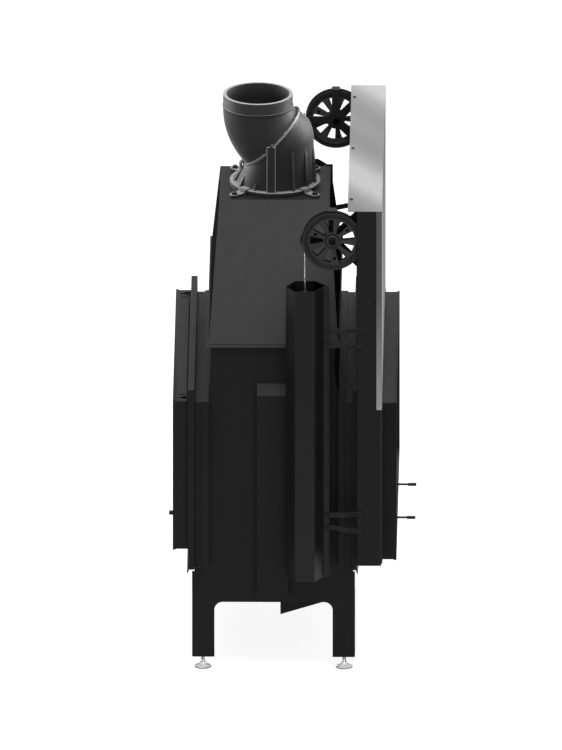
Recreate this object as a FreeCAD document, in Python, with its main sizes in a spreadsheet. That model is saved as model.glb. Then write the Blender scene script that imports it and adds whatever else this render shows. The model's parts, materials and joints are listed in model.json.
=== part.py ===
"""Two-sided steel fireplace insert with a lift-up front door and a hinged rear door.

Frame: +Z up, the front faces -Y, +X is the right hand seen from the front.
The origin is on the floor, below the middle of the whole outline.  Millimetres.
"""
import FreeCAD, Part
import math
import os
import Sketcher

doc = FreeCAD.newDocument("FireplaceInsert")
sheet = doc.addObject("Spreadsheet::Sheet", "Dims")

DIMENSIONS = {
    # Firebox: depths are measured from its middle plane, which lies behind the origin
    "firebox_offset": 52,
    "wall_half_width": 458,
    "wall_sheet": 4,
    "body_half_depth": 185,
    "mouth_half_depth": 226,
    "wall_bottom": 227,
    "apron_top": 386,
    "mouth_top": 815,
    "body_top": 982,
    "front_lean": 20,
    "rear_lean": 5,
    "cheek_out": 7,
    "cheek_top": 298,
    # Ribs round both mouths
    "end_frame_out": 24,
    "end_frame_bottom": 316,
    "end_frame_top": 821,
    "end_frame_depth": 20,
    "end_frame_step": 3,
    # Flanged face plates that close the two mouths
    "plate_lap": 12,
    "plate_bottom": 313,
    "plate_top": 862,
    "plate_sheet": 3,
    "plate_bend": 7,
    "rear_plate_depth": 18,
    "front_plate_depth": 12,
    "sleeve_reach": 12,
    "lip_drop": 11,
    "lip_out": 4,
    # Leg frames and levelling feet
    "leg_width": 64,
    "leg_bottom": 39,
    "leg_sheet": 3,
    "leg_flange": 56,
    "leg_bend": 5,
    "arch_top": 205,
    "arch_radius": 24,
    "foot_inset_x": 29,
    "foot_inset_y": 31,
    "foot_radius": 24,
    "foot_rim": 3,
    "foot_height": 15,
    "foot_neck": 8,
    "stud_radius": 5,
    "stud_top": 66,
    "collar_radius": 9,
    "collar_height": 8,
    # Fire bed, linings and baffle
    "hearth_top": 380,
    "hearth_thick": 40,
    "hearth_inset": 21,
    "carrier_sheet": 3,
    "carrier_half_depth": 150,
    "liner_thick": 30,
    "liner_top": 800,
    "baffle_thick": 30,
    "baffle_half_depth": 120,
    "guard_radius": 5,
    "guard_height": 62,
    "guard_half_width": 360,
    "guard_inset": 15,
    "guard_foot_pitch": 240,
    # Air wedge below the floor and side ducts
    "plenum_inset": 63,
    "plenum_rear": 19,
    "plenum_front": 142,
    "plenum_low": 146,
    "plenum_lip": 184,
    "plenum_sheet": 2,
    "air_slot_half_width": 300,
    "air_slot_margin": 24,
    "duct_from_tube": 47.4,
    "duct_rear": 47,
    "duct_bottom": 224,
    "duct_top": 868,
    "duct_depth": 28,
    "duct_sheet": 2,
    # Smoke hood
    "hood_rim_out": 17,
    "hood_rim_lap": 5,
    "hood_rim_thick": 6,
    "hood_top": 1315,
    "hood_top_half_width": 146,
    "hood_top_half_depth": 158,
    "hood_sheet": 4,
    # Cast flue with a turning elbow
    "flue_flange_radius": 129.5,
    "flue_flange_thick": 12,
    "flue_base_radius": 111.5,
    "flue_wall": 8,
    "casting_step": 0.5,
    "ball_height": 1450,
    "barrel_length": 260,
    "joint_radius": 110,
    "joint_shift": 10,
    "joint_height": 1456,
    "joint_tilt": 45,
    "joint_rim": 4,
    "joint_rim_thick": 3,
    "joint_gap": 0.3,
    "elbow_bend": 131.7,
    "collar_outer": 100,
    "collar_wall": 9.5,
    "flue_top": 1586,
    "collar_bead": 2,
    "collar_bead_height": 3.5,
    "lug_reach": 163,
    "lug_width": 28,
    "lug_thick": 6,
    "lug_bore": 5,
    "lug_step": 7,
    "lug_end": 14,
    "rib_thick": 6,
    "rib_foot": 10,
    "rib_height": 110,
    "rib_count": 6,
    "rib_spread": 25,
    "rear_rib_height": 40,
    "rear_rib_lean": 14,
    "rear_rib_inner": 32,
    "rear_rib_outer": 60,
    "clamp_width": 26,
    "clamp_thick": 5,
    "clamp_gap": 2,
    # Guide posts, sill and top cover
    "post_out": 87,
    "post_depth": 71,
    "post_bottom": 346,
    "post_top": 1419,
    "post_sheet": 3,
    "post_bend": 4,
    "post_rear_flange": 59,
    "post_front_flange": 40,
    "sill_top": 370,
    "cover_sheet": 2,
    "cover_bottom": 819,
    "cover_rear_overhang": 25,
    "cover_return": 14,
    # Surround sleeves
    "surround_sheet": 2.5,
    "surround_lip": 11,
    "surround_flare": 3,
    "rear_surround_depth": 44,
    "rear_surround_bottom": 374,
    "rear_surround_top": 821,
    "front_surround_depth": 43,
    "front_surround_bottom": 344,
    "front_surround_top": 818,
    "front_flange_inset": 25,
    "top_gap": 5,
    "keyhole_inset": 32,
    "keyhole_length": 27,
    "keyhole_width": 13,
    "keyhole_start": 6,
    "keyhole_end": 32,
    "slot_inset": 62,
    "slot_width": 8,
    "slot_start": 9,
    "slot_end": 29,
    "slot_corner": 3,
    # Lift door
    "door_lap": 16,
    "door_top": 828,
    "door_thick": 25,
    "door_member": 40,
    "door_rebate": 12,
    "glass_thick": 5,
    "glass_play": 0.5,
    "seal_width": 6,
    "seal_thick": 6.7,
    "running_gap": 0.3,
    "carrier_low": 390,
    "carrier_high": 770,
    "carrier_height": 40,
    "carrier_set": 11,
    "carrier_thick": 8,
    "lug_half": 9,
    "block_inset": 5,
    "block_width": 41,
    "handle_half_width": 150,
    "handle_bar": 16,
    "handle_standoff": 14,
    "handle_height": 386,
    "handle_post_spot": 105,
    # Counterweight drive
    "pulley_inset": 16,
    "pulley_set": 57,
    "pulley_z": 1327,
    "pulley_radius": 87,
    "pulley_width": 22,
    "pulley_web": 16,
    "cable_pitch": 78.6,
    "cable_radius": 2,
    "groove_play": 0.3,
    "groove_half_width": 6,
    "hub_radius": 19.4,
    "window_turn": 7,
    "dimple_place": 53,
    "dimple_radius": 4.5,
    "dimple_depth": 2,
    "window_inner": 26,
    "window_outer": 64,
    "window_inner_width": 9,
    "window_outer_width": 24,
    "window_corner": 3,
    "window_count": 9,
    "axle_radius": 6,
    "axle_play": 0.05,
    "axle_head_radius": 10,
    "axle_head": 5,
    "bracket_sheet": 4,
    "bracket_arm": 23,
    "bracket_hub": 26,
    "bracket_gap": 5,
    "tab_thick": 4,
    "tab_gap": 1.5,
    "tube_corner": 55,
    "tube_sheet": 2,
    "tube_bottom": 307,
    "tube_top": 1187,
    "seam_width": 15,
    "seam_thick": 3,
    "weight_radius": 33,
    "weight_length": 440,
    "weight_top": 1160,
    "weight_bore": 3,
    "ferrule_radius": 6,
    "ferrule_height": 14,
    "arm_height": 15,
    "arm_sheet": 3,
    "arm_post_spacing": 51,
    "arm_tube_spacing": 33,
    "arm_upper_z": 1035,
    "arm_lower_z": 478,
    "arm_reach": 20,
    "arm_knee": 28,
    # Rear door
    "rear_door_inset": 12,
    "rear_door_bottom": 378.5,
    "rear_door_top": 816.5,
    "rear_seal": 8,
    "hinge_inset": 10,
    "hinge_out": 28,
    "hinge_pin_radius": 5,
    "hinge_pin_length": 24,
    "hinge_pin_play": 1,
    "hinge_washer": 8,
    "latch_inset": 20,
    "latch_z": 511,
    "latch_shaft": 4,
    "latch_depth": 18,
    "latch_reach": 22,
    "latch_grip": 34,
    # Air control rods
    "rod_x": 143,
    "rod_z": 353,
    "rod_reach": 94,
    "rod_radius": 3.25,
    "rod_stop_length": 22.7,
    "grip_radius": 5,
    "grip_length": 24,
    # Fasteners
    "screw_head": 5,
    "screw_low": 388,
    "screw_mid": 758,
    "screw_high": 1139,
    "cover_screw_pitch": 443,
    "cover_screw_inset": 10,
    "screw_dome": 2.5,
    "screw_crown": 3,
    "bolt_head": 8,
    "bolt_height": 7,
}

for row, (alias, number) in enumerate(DIMENSIONS.items(), start=1):
    sheet.set(f"A{row}", alias)
    sheet.set(f"B{row}", str(number))
    sheet.setAlias(f"B{row}", alias)
doc.recompute()


class Size:
    """A length that carries its number and the sheet expression that it comes from."""

    def __init__(self, value, text):
        self.value = float(value)
        self.text = text

    def __add__(self, other):
        other = size(other)
        return Size(self.value + other.value, f"({self.text} + {other.text})")

    def __sub__(self, other):
        other = size(other)
        return Size(self.value - other.value, f"({self.text} - {other.text})")

    def __mul__(self, factor):
        factor = size(factor)
        return Size(self.value * factor.value, f"({self.text} * {factor.text})")

    def __truediv__(self, factor):
        factor = size(factor)
        return Size(self.value / factor.value, f"({self.text} / {factor.text})")

    def __neg__(self):
        return Size(-self.value, f"(-1 * {self.text})")

    __radd__ = __add__
    __rmul__ = __mul__

    def __rsub__(self, other):
        return size(other) - self


def size(number):
    """A plain number as a Size; a Size comes back as it is."""
    if isinstance(number, Size):
        return number
    return Size(number, repr(float(number)))


class Aliases:
    """Reads a driving dimension by its alias, as in D.wall_sheet."""

    def __getattr__(self, alias):
        return Size(DIMENSIONS[alias], f"Dims.{alias}")


D = Aliases()
COS45 = math.sqrt(0.5)
HEX_FLAT = math.sqrt(0.75)
HALF_TURN = 180
nodes = []

# Half widths and side places that follow the firebox walls
END_FRAME_HALF = D.wall_half_width + D.end_frame_out
PLATE_HALF = END_FRAME_HALF + D.plate_lap
HOOD_RIM_HALF = D.wall_half_width + D.hood_rim_out
PLENUM_HALF = D.wall_half_width - D.plenum_inset
POST_HALF = D.wall_half_width + D.post_out
PULLEY_X = POST_HALF - D.pulley_inset
DOOR_HALF = D.wall_half_width + D.door_lap
SURROUND_HALF = END_FRAME_HALF
FRONT_FLANGE_HALF = POST_HALF - D.front_flange_inset
KEYHOLE_X = SURROUND_HALF - D.keyhole_inset
SLOT_X = SURROUND_HALF - D.slot_inset
REAR_DOOR_HALF = END_FRAME_HALF - D.rear_door_inset
HINGE_X = REAR_DOOR_HALF - D.hinge_inset
LATCH_X = REAR_DOOR_HALF - D.latch_inset

# Half depths that follow the firebox's body and mouths
BODY_TOP_FRONT = D.body_half_depth - D.front_lean
BODY_TOP_REAR = D.body_half_depth - D.rear_lean
HOOD_RIM_DEPTH = D.body_half_depth + D.hood_rim_lap
CHEEK_HALF = D.mouth_half_depth + D.cheek_out
HEARTH_HALF = D.mouth_half_depth - D.hearth_inset


def keep(obj, label):
    """Name a finished sub-part; its label is the name of its file."""
    obj.Label = label
    nodes.append(obj)
    return obj


def bind(obj, **sizes):
    """Bind properties to sheet expressions."""
    for prop, length in sizes.items():
        obj.setExpression(prop, size(length).text)
    return obj


def put(obj, x=0, y=0, z=0):
    """Bind the place of an object."""
    obj.setExpression("Placement.Base.x", size(x).text)
    obj.setExpression("Placement.Base.y", size(y).text)
    obj.setExpression("Placement.Base.z", size(z).text)
    return obj


def new_body(name):
    return doc.addObject("PartDesign::Body", name)


def origin_item(body, role):
    for item in body.Origin.OriginFeatures:
        if item.Role == role:
            return item
    raise ValueError(role)


def limit(sketch, kind, where, length):
    """Add one dimension to a sketch and bind it."""
    index = sketch.addConstraint(Sketcher.Constraint(kind, *where, size(length).value))
    sketch.setExpression(f"Constraints[{index}]", size(length).text)


def pin_point(sketch, geometry, position, x, y):
    limit(sketch, "DistanceX", (-1, 1, geometry, position), x)
    limit(sketch, "DistanceY", (-1, 1, geometry, position), y)


def draw_circle(sketch, x, y, radius):
    centre = FreeCAD.Vector(size(x).value, size(y).value, 0)
    circle = Part.Circle(centre, FreeCAD.Vector(0, 0, 1), size(radius).value)
    index = sketch.addGeometry(circle, False)
    limit(sketch, "Radius", (index,), radius)
    pin_point(sketch, index, 3, x, y)


def corner_cut(points, index):
    """Start, end and centre of the arc that rounds one corner of an outline."""
    here = points[index]
    radius = size(here[2]).value
    corner = FreeCAD.Vector(size(here[0]).value, size(here[1]).value, 0)
    before = points[index - 1]
    after = points[(index + 1) % len(points)]
    back = FreeCAD.Vector(size(before[0]).value, size(before[1]).value, 0) - corner
    ahead = FreeCAD.Vector(size(after[0]).value, size(after[1]).value, 0) - corner
    back.normalize()
    ahead.normalize()
    half = back.getAngle(ahead) / 2
    reach = radius / math.tan(half)
    middle = back + ahead
    middle.normalize()
    centre = corner + middle * (radius / math.sin(half))
    return corner + back * reach, corner + ahead * reach, centre


def draw_outline(sketch, points):
    """Closed outline through points (x, y) or (x, y, corner radius)."""
    count = len(points)
    starts = []
    ends = []
    arcs = {}
    for index, point in enumerate(points):
        if len(point) == 2:
            corner = FreeCAD.Vector(size(point[0]).value, size(point[1]).value, 0)
            ends.append(corner)
            starts.append(corner)
            continue
        arrive, leave, centre = corner_cut(points, index)
        ends.append(arrive)
        starts.append(leave)
        arcs[index] = centre
    lines = []
    for index in range(count):
        segment = Part.LineSegment(starts[index], ends[(index + 1) % count])
        lines.append(sketch.addGeometry(segment, False))
    for index, point in enumerate(points):
        arriving = lines[index - 1]
        leaving = lines[index]
        if index not in arcs:
            sketch.addConstraint(Sketcher.Constraint("Coincident", arriving, 2, leaving, 1))
            pin_point(sketch, leaving, 1, point[0], point[1])
            continue
        centre = arcs[index]
        first = ends[index] - centre
        second = starts[index] - centre
        turns_left = first.cross(second).z > 0
        start_angle = math.atan2(first.y, first.x)
        end_angle = math.atan2(second.y, second.x)
        if not turns_left:
            start_angle, end_angle = end_angle, start_angle
        circle = Part.Circle(centre, FreeCAD.Vector(0, 0, 1), size(point[2]).value)
        arc = sketch.addGeometry(Part.ArcOfCircle(circle, start_angle, end_angle), False)
        arc_start, arc_end = (1, 2) if turns_left else (2, 1)
        sketch.addConstraint(Sketcher.Constraint("Tangent", arriving, 2, arc, arc_start))
        sketch.addConstraint(Sketcher.Constraint("Tangent", arc, arc_end, leaving, 1))
        limit(sketch, "Radius", (arc,), point[2])
        corner = FreeCAD.Vector(size(point[0]).value, size(point[1]).value, 0)
        mark = sketch.addGeometry(Part.Point(corner), True)
        sketch.addConstraint(Sketcher.Constraint("PointOnObject", mark, 1, arriving))
        sketch.addConstraint(Sketcher.Constraint("PointOnObject", mark, 1, leaving))
        pin_point(sketch, mark, 1, point[0], point[1])


def new_sketch(body, plane, height, outlines):
    """Sketch on one of the body's own planes; an outline of one triple is a circle."""
    sketch = body.newObject("Sketcher::SketchObject", f"{body.Name}_sketch")
    sketch.AttachmentSupport = [(origin_item(body, f"{plane}_Plane"), "")]
    sketch.MapMode = "FlatFace"
    along = -size(height) if plane == "XZ" else size(height)
    sketch.setExpression("AttachmentOffset.Base.z", along.text)
    for outline in outlines:
        if isinstance(outline, tuple):
            draw_circle(sketch, *outline)
        else:
            draw_outline(sketch, outline)
    return sketch


def pad(body, plane, low, high, *outlines):
    """Extrude outlines from low to high, square to the plane."""
    start = high if plane == "XZ" else low
    feature = body.newObject("PartDesign::Pad", f"{body.Name}_pad")
    feature.Profile = new_sketch(body, plane, start, outlines)
    return bind(feature, Length=size(high) - low)


def pocket(body, plane, low, high, *outlines):
    """Cut outlines from low to high, square to the plane."""
    start = low if plane == "XZ" else high
    feature = body.newObject("PartDesign::Pocket", f"{body.Name}_pocket")
    feature.Profile = new_sketch(body, plane, start, outlines)
    return bind(feature, Length=size(high) - low)


def revolve(body, plane, axis, outline):
    """Turn an outline once round an origin axis."""
    feature = body.newObject("PartDesign::Revolution", f"{body.Name}_turned")
    feature.Profile = new_sketch(body, plane, 0, [outline])
    feature.ReferenceAxis = (origin_item(body, f"{axis}_Axis"), [""])
    feature.Angle = 360
    return feature


def rectangle(left, low, right, high, radius=None):
    corners = [(left, low), (right, low), (right, high), (left, high)]
    if radius is None:
        return corners
    return [(x, y, radius) for x, y in corners]


def box(name, low, high):
    """Box between two corners."""
    part = doc.addObject("Part::Box", name)
    bind(part, Length=high[0] - low[0], Width=high[1] - low[1], Height=high[2] - low[2])
    return put(part, *low)


def cylinder(name, radius, length, place, axis="Z"):
    """Cylinder from its end point along +X, +Y or +Z."""
    part = doc.addObject("Part::Cylinder", name)
    bind(part, Radius=radius, Height=length)
    turns = {
        "X": FreeCAD.Rotation(FreeCAD.Vector(0, 1, 0), 90),
        "Y": FreeCAD.Rotation(FreeCAD.Vector(1, 0, 0), -90),
        "Z": FreeCAD.Rotation(),
    }
    part.Placement = FreeCAD.Placement(FreeCAD.Vector(), turns[axis])
    return put(part, *place)


def fuse(name, *shapes):
    whole = doc.addObject("Part::MultiFuse", name)
    whole.Shapes = list(shapes)
    whole.Refine = True
    return whole


def cut(name, base, tool):
    rest = doc.addObject("Part::Cut", name)
    rest.Base = base
    rest.Tool = tool
    rest.Refine = True
    return rest


def common(name, *shapes):
    """What several solids share."""
    shared = doc.addObject("Part::MultiCommon", name)
    shared.Shapes = list(shapes)
    return shared


def group(name, *shapes):
    """Several solids in one node."""
    whole = doc.addObject("Part::Compound", name)
    whole.Links = list(shapes)
    return whole


def mirrored(source, name):
    """Right-hand twin of a left-hand piece."""
    twin = doc.addObject("Part::Mirroring", name)
    twin.Source = source
    twin.Base = (0, 0, 0)
    twin.Normal = (1, 0, 0)
    return twin


def pair(build, name):
    """A left-hand piece and its mirrored right-hand twin, each a node of its own."""
    left = keep(build(f"{name}_left"), f"{name}_left")
    keep(mirrored(left, f"{name}_right"), f"{name}_right")


def both_sides(name, *shapes, middle=()):
    """One node that holds left-hand pieces, their mirrored twins and pieces in the middle."""
    twins = [mirrored(shape, f"{name}_twin") for shape in shapes]
    return keep(group(name, *shapes, *twins, *middle), name)


def cosine(angle):
    angle = size(angle)
    return Size(math.cos(math.radians(angle.value)), f"cos({angle.text} * 1 deg)")


def sine(angle):
    angle = size(angle)
    return Size(math.sin(math.radians(angle.value)), f"sin({angle.text} * 1 deg)")


def tilt(obj, angle):
    """Lean an object's axis back from upright by an angle."""
    axis = FreeCAD.Vector(-1, 0, 0)
    turn = FreeCAD.Rotation(axis, size(angle).value)
    obj.Placement = FreeCAD.Placement(obj.Placement.Base, turn)
    obj.setExpression("Placement.Rotation.Angle", size(angle).text)
    return obj


# Shared places
MID = D.firebox_offset
WALL_IN = D.wall_half_width - D.wall_sheet
FLOOR_TOP = D.wall_bottom + D.wall_sheet
LINTEL_UNDER = D.mouth_top - D.wall_sheet
REAR_FACE = MID + D.mouth_half_depth + D.rear_plate_depth
FRONT_FACE = MID - D.mouth_half_depth - D.front_plate_depth
POST_FRONT = FRONT_FACE - D.post_depth
PULLEY_Y = MID - D.mouth_half_depth + D.pulley_set
TUBE_Y = PULLEY_Y + D.cable_pitch
CABLE_Y = PULLEY_Y - D.cable_pitch


# Firebox shell
def firebox_wall(name):
    """Side sheet: wide at the mouths, drawn in towards the hood, with cheeks above the legs."""
    body = new_body(name)
    outline = [
        (MID - CHEEK_HALF, D.wall_bottom),
        (MID + CHEEK_HALF, D.wall_bottom),
        (MID + CHEEK_HALF, D.cheek_top),
        (MID + D.mouth_half_depth, D.cheek_top),
        (MID + D.mouth_half_depth, D.mouth_top),
        (MID + D.body_half_depth, D.mouth_top),
        (MID + BODY_TOP_REAR, D.body_top),
        (MID - BODY_TOP_FRONT, D.body_top),
        (MID - D.body_half_depth, D.mouth_top),
        (MID - D.mouth_half_depth, D.mouth_top),
        (MID - D.mouth_half_depth, D.cheek_top),
        (MID - CHEEK_HALF, D.cheek_top),
    ]
    pad(body, "YZ", -D.wall_half_width, -WALL_IN, outline)
    return body


def end_wall(name, side, top):
    """Sloping upper end sheet bent out as the mouth's lintel; side is 1 at the rear, -1 in front."""
    body = new_body(name)
    outline = [
        (MID + (D.body_half_depth - D.wall_sheet) * side, LINTEL_UNDER),
        (MID + D.mouth_half_depth * side, LINTEL_UNDER),
        (MID + D.mouth_half_depth * side, D.mouth_top),
        (MID + D.body_half_depth * side, D.mouth_top),
        (MID + top * side, D.body_top),
        (MID + (top - D.wall_sheet) * side, D.body_top),
    ]
    pad(body, "YZ", -WALL_IN, WALL_IN, outline)
    return keep(body, name)


def firebox_floor():
    """Floor sheet with both aprons bent up below the mouths and a slot over the air wedge."""
    body = new_body("firebox_floor")
    rear = MID + D.mouth_half_depth
    front = MID - D.mouth_half_depth
    outline = [
        (front, D.wall_bottom),
        (rear, D.wall_bottom),
        (rear, D.apron_top),
        (rear - D.wall_sheet, D.apron_top),
        (rear - D.wall_sheet, FLOOR_TOP),
        (front + D.wall_sheet, FLOOR_TOP),
        (front + D.wall_sheet, D.apron_top),
        (front, D.apron_top),
    ]
    pad(body, "YZ", -WALL_IN, WALL_IN, outline)
    slot = rectangle(
        -D.air_slot_half_width,
        MID - D.plenum_front + D.air_slot_margin,
        D.air_slot_half_width,
        MID - D.plenum_rear - D.air_slot_margin,
    )
    pocket(body, "XY", D.wall_bottom, FLOOR_TOP, slot)
    keep(body, "firebox_floor")


def end_frame(name, side):
    """Stepped stiffening rib over the sides and top of a mouth."""
    body = new_body(name)
    start = MID + D.body_half_depth * side
    step = start + D.end_frame_depth * side
    end = MID + D.mouth_half_depth * side
    for inner, outer, drop in ((start, step, 0), (step, end, D.end_frame_step)):
        half = END_FRAME_HALF - drop
        top = D.end_frame_top - drop
        outline = [
            (-half, D.end_frame_bottom),
            (-D.wall_half_width, D.end_frame_bottom),
            (-D.wall_half_width, D.mouth_top),
            (D.wall_half_width, D.mouth_top),
            (D.wall_half_width, D.end_frame_bottom),
            (half, D.end_frame_bottom),
            (half, top),
            (-half, top),
        ]
        ends = (inner, outer) if side > 0 else (outer, inner)
        pad(body, "XZ", *ends, outline)
    keep(body, name)


def face_plate(name, side, depth):
    """Pressed plate round a mouth: bent rim outside, sleeve inside, drip lip below."""
    body = new_body(name)
    mouth = MID + D.mouth_half_depth * side
    face = mouth + depth * side
    back = face - D.plate_sheet * side
    sleeve_end = mouth - D.sleeve_reach * side
    low, high = (mouth, face) if side > 0 else (face, mouth)
    outside = rectangle(
        -PLATE_HALF, D.plate_bottom, PLATE_HALF, D.plate_top, D.plate_bend
    )
    pad(body, "XZ", low, high, outside)
    inner_bend = D.plate_bend - D.plate_sheet
    hollow = rectangle(
        -PLATE_HALF + D.plate_sheet,
        D.plate_bottom + D.plate_sheet,
        PLATE_HALF - D.plate_sheet,
        D.plate_top - D.plate_sheet,
        inner_bend,
    )
    low, high = (mouth, back) if side > 0 else (back, mouth)
    pocket(body, "XZ", low, high, hollow)
    sleeve = rectangle(-WALL_IN, D.apron_top, WALL_IN, LINTEL_UNDER)
    low, high = (sleeve_end, face) if side > 0 else (face, sleeve_end)
    pad(body, "XZ", low, high, sleeve)
    opening = rectangle(
        -WALL_IN + D.plate_sheet,
        D.apron_top + D.plate_sheet,
        WALL_IN - D.plate_sheet,
        LINTEL_UNDER - D.plate_sheet,
    )
    pocket(body, "XZ", low, high, opening)
    half_lip = PLATE_HALF - D.plate_bend
    lip = [
        (face, D.plate_bottom),
        (face + D.lip_out * side, D.plate_bottom - D.lip_drop),
        (face + (D.lip_out - D.plate_sheet) * side, D.plate_bottom - D.lip_drop),
        (face - D.plate_sheet * side, D.plate_bottom),
    ]
    pad(body, "YZ", -half_lip, half_lip, lip)
    keep(body, name)


def smoke_hood():
    """Hollow sheet pyramid on a flat rim, open to the firebox and to the flue."""
    skin_bottom = D.body_top + D.hood_rim_thick
    rim = new_body("hood_rim")
    mouth = rectangle(
        -WALL_IN + D.hood_sheet,
        MID - BODY_TOP_FRONT + D.wall_sheet + D.hood_sheet,
        WALL_IN - D.hood_sheet,
        MID + BODY_TOP_REAR - D.wall_sheet - D.hood_sheet,
    )
    outside = rectangle(
        -HOOD_RIM_HALF,
        MID - HOOD_RIM_DEPTH,
        HOOD_RIM_HALF,
        MID + HOOD_RIM_DEPTH,
    )
    pad(rim, "XY", D.body_top, skin_bottom, outside, mouth)
    foot_x = D.wall_half_width
    foot_y = D.body_half_depth

    def pyramid(name, inset, low, high):
        body = new_body(name)
        feature = body.newObject("PartDesign::AdditiveLoft", f"{name}_loft")
        foot = rectangle(-foot_x + inset, MID - foot_y + inset, foot_x - inset, MID + foot_y - inset)
        head = rectangle(
            -D.hood_top_half_width + inset,
            MID - D.hood_top_half_depth + inset,
            D.hood_top_half_width - inset,
            MID + D.hood_top_half_depth - inset,
        )
        feature.Profile = new_sketch(body, "XY", low, [foot])
        feature.Sections = [new_sketch(body, "XY", high, [head])]
        feature.Ruled = True
        return body

    outer = pyramid("hood_outside", size(0), skin_bottom, D.hood_top)
    inner = pyramid("hood_inside", D.hood_sheet * 2, skin_bottom, D.hood_top - D.hood_sheet)
    flue_hole = cylinder(
        "hood_flue_hole",
        D.flue_base_radius - D.flue_wall,
        D.hood_sheet * 2,
        (0, MID, D.hood_top - D.hood_sheet * 2),
    )
    hollow = fuse("hood_hollow", inner, flue_hole)
    skin = cut("hood_skin", outer, hollow)
    keep(fuse("smoke_hood", rim, skin), "smoke_hood")


# Fire bed
def fire_bed():
    """Refractory slab on a folded carrier, side linings, baffle and log guards."""
    hearth_under = D.hearth_top - D.hearth_thick
    keep(
        box(
            "hearth_slab",
            (-WALL_IN, MID - HEARTH_HALF, hearth_under),
            (WALL_IN, MID + HEARTH_HALF, D.hearth_top),
        ),
        "hearth_slab",
    )
    carrier = new_body("hearth_carrier")
    deep = D.carrier_half_depth
    thin = D.carrier_sheet
    outline = [
        (MID - deep, FLOOR_TOP),
        (MID - deep + thin, FLOOR_TOP),
        (MID - deep + thin, hearth_under - thin),
        (MID + deep - thin, hearth_under - thin),
        (MID + deep - thin, FLOOR_TOP),
        (MID + deep, FLOOR_TOP),
        (MID + deep, hearth_under),
        (MID - deep, hearth_under),
    ]
    half = WALL_IN - D.liner_thick
    pad(carrier, "YZ", -half, half, outline)
    keep(carrier, "hearth_carrier")

    def liner(name):
        depth = HEARTH_HALF
        return box(
            name,
            (-WALL_IN, MID - depth, D.hearth_top),
            (-WALL_IN + D.liner_thick, MID + depth, D.liner_top),
        )

    both_sides("side_liners", liner("liner"))
    baffle_depth = D.baffle_half_depth
    keep(
        box(
            "baffle",
            (-WALL_IN, MID - baffle_depth, D.liner_top),
            (WALL_IN, MID + baffle_depth, D.liner_top + D.baffle_thick),
        ),
        "baffle",
    )
    guards = []
    for side in (1, -1):
        place_y = MID + (HEARTH_HALF - D.guard_inset) * side
        bar = cylinder(
            "guard_bar",
            D.guard_radius,
            D.guard_half_width * 2,
            (-D.guard_half_width, place_y, D.hearth_top + D.guard_height),
            "X",
        )
        feet = [
            cylinder(
                "guard_foot",
                D.guard_radius,
                D.guard_height,
                (D.guard_foot_pitch * step, place_y, D.hearth_top),
            )
            for step in (-1, 0, 1)
        ]
        guards.append(fuse("log_guard", bar, *feet))
    keep(group("log_guards", *guards), "log_guards")


# Air supply
def air_plenum():
    """Wedge-shaped air box under the floor, open upwards."""
    body = new_body("air_plenum")
    rear = MID - D.plenum_rear
    front = MID - D.plenum_front
    thin = D.plenum_sheet
    outside = [(front, D.wall_bottom), (front, D.plenum_lip), (rear, D.plenum_low), (rear, D.wall_bottom)]
    pad(body, "YZ", -PLENUM_HALF, PLENUM_HALF, outside)
    inside = [
        (front + thin, D.wall_bottom),
        (front + thin, D.plenum_lip + thin),
        (rear - thin, D.plenum_low + thin),
        (rear - thin, D.wall_bottom),
    ]
    pocket(body, "YZ", -PLENUM_HALF + thin, PLENUM_HALF - thin, inside)
    keep(body, "air_plenum")


def side_duct(name):
    """Folded air duct on the side sheet with a sloping head."""
    body = new_body(name)
    wall = -D.wall_half_width
    outer = wall - D.duct_depth
    thin = D.duct_sheet
    low_y = TUBE_Y + D.duct_from_tube
    high_y = MID + D.duct_rear
    shoulder = D.duct_top - D.duct_depth
    outside = [(wall, D.duct_bottom), (wall, D.duct_top), (outer, shoulder), (outer, D.duct_bottom)]
    pad(body, "XZ", low_y, high_y, outside)
    inside = [
        (wall, D.duct_bottom + thin),
        (wall, D.duct_top - thin * 2),
        (outer + thin, shoulder - thin),
        (outer + thin, D.duct_bottom + thin),
    ]
    pocket(body, "XZ", low_y + thin, high_y - thin, inside)
    return body


# Legs and feet
def leg_frame(name):
    """Side frame with an arch between two bent legs, a floor ledge and drilled foot plates."""
    body = new_body(name)
    out = -D.wall_half_width
    rear = MID + CHEEK_HALF
    front = MID - CHEEK_HALF
    bend = D.leg_bend
    arch = [
        (front + bend, D.leg_bottom),
        (front + D.leg_width, D.leg_bottom),
        (front + D.leg_width, D.arch_top, D.arch_radius),
        (rear - D.leg_width, D.arch_top, D.arch_radius),
        (rear - D.leg_width, D.leg_bottom),
        (rear - bend, D.leg_bottom),
        (rear - bend, D.wall_bottom),
        (front + bend, D.wall_bottom),
    ]
    pad(body, "YZ", out, out + D.leg_sheet, arch)
    inside = out + D.leg_sheet
    for edge, side in ((front, 1), (rear, -1)):
        far = edge + D.leg_sheet * side
        bent_flange = [
            (out, edge, bend),
            (out + D.leg_flange, edge),
            (out + D.leg_flange, far),
            (inside, far),
            (inside, edge + bend * 2 * side),
            (out, edge + bend * 2 * side),
        ]
        pad(body, "XY", D.leg_bottom, D.wall_bottom, bent_flange)
        plate_end = edge + D.leg_width * side
        low, high = (far, plate_end) if side > 0 else (plate_end, far)
        plate = rectangle(inside, low, out + D.leg_flange, high)
        hole = (out + D.foot_inset_x, edge + D.foot_inset_y * side, D.stud_radius + D.axle_play)
        pad(body, "XY", D.leg_bottom, D.leg_bottom + D.leg_sheet, plate)
        pocket(body, "XY", D.leg_bottom, D.leg_bottom + D.leg_sheet, hole)
    ledge = rectangle(inside, front + D.leg_sheet, out + D.leg_flange, rear - D.leg_sheet)
    pad(body, "XY", D.wall_bottom - D.leg_sheet, D.wall_bottom, ledge)
    return body


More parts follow.
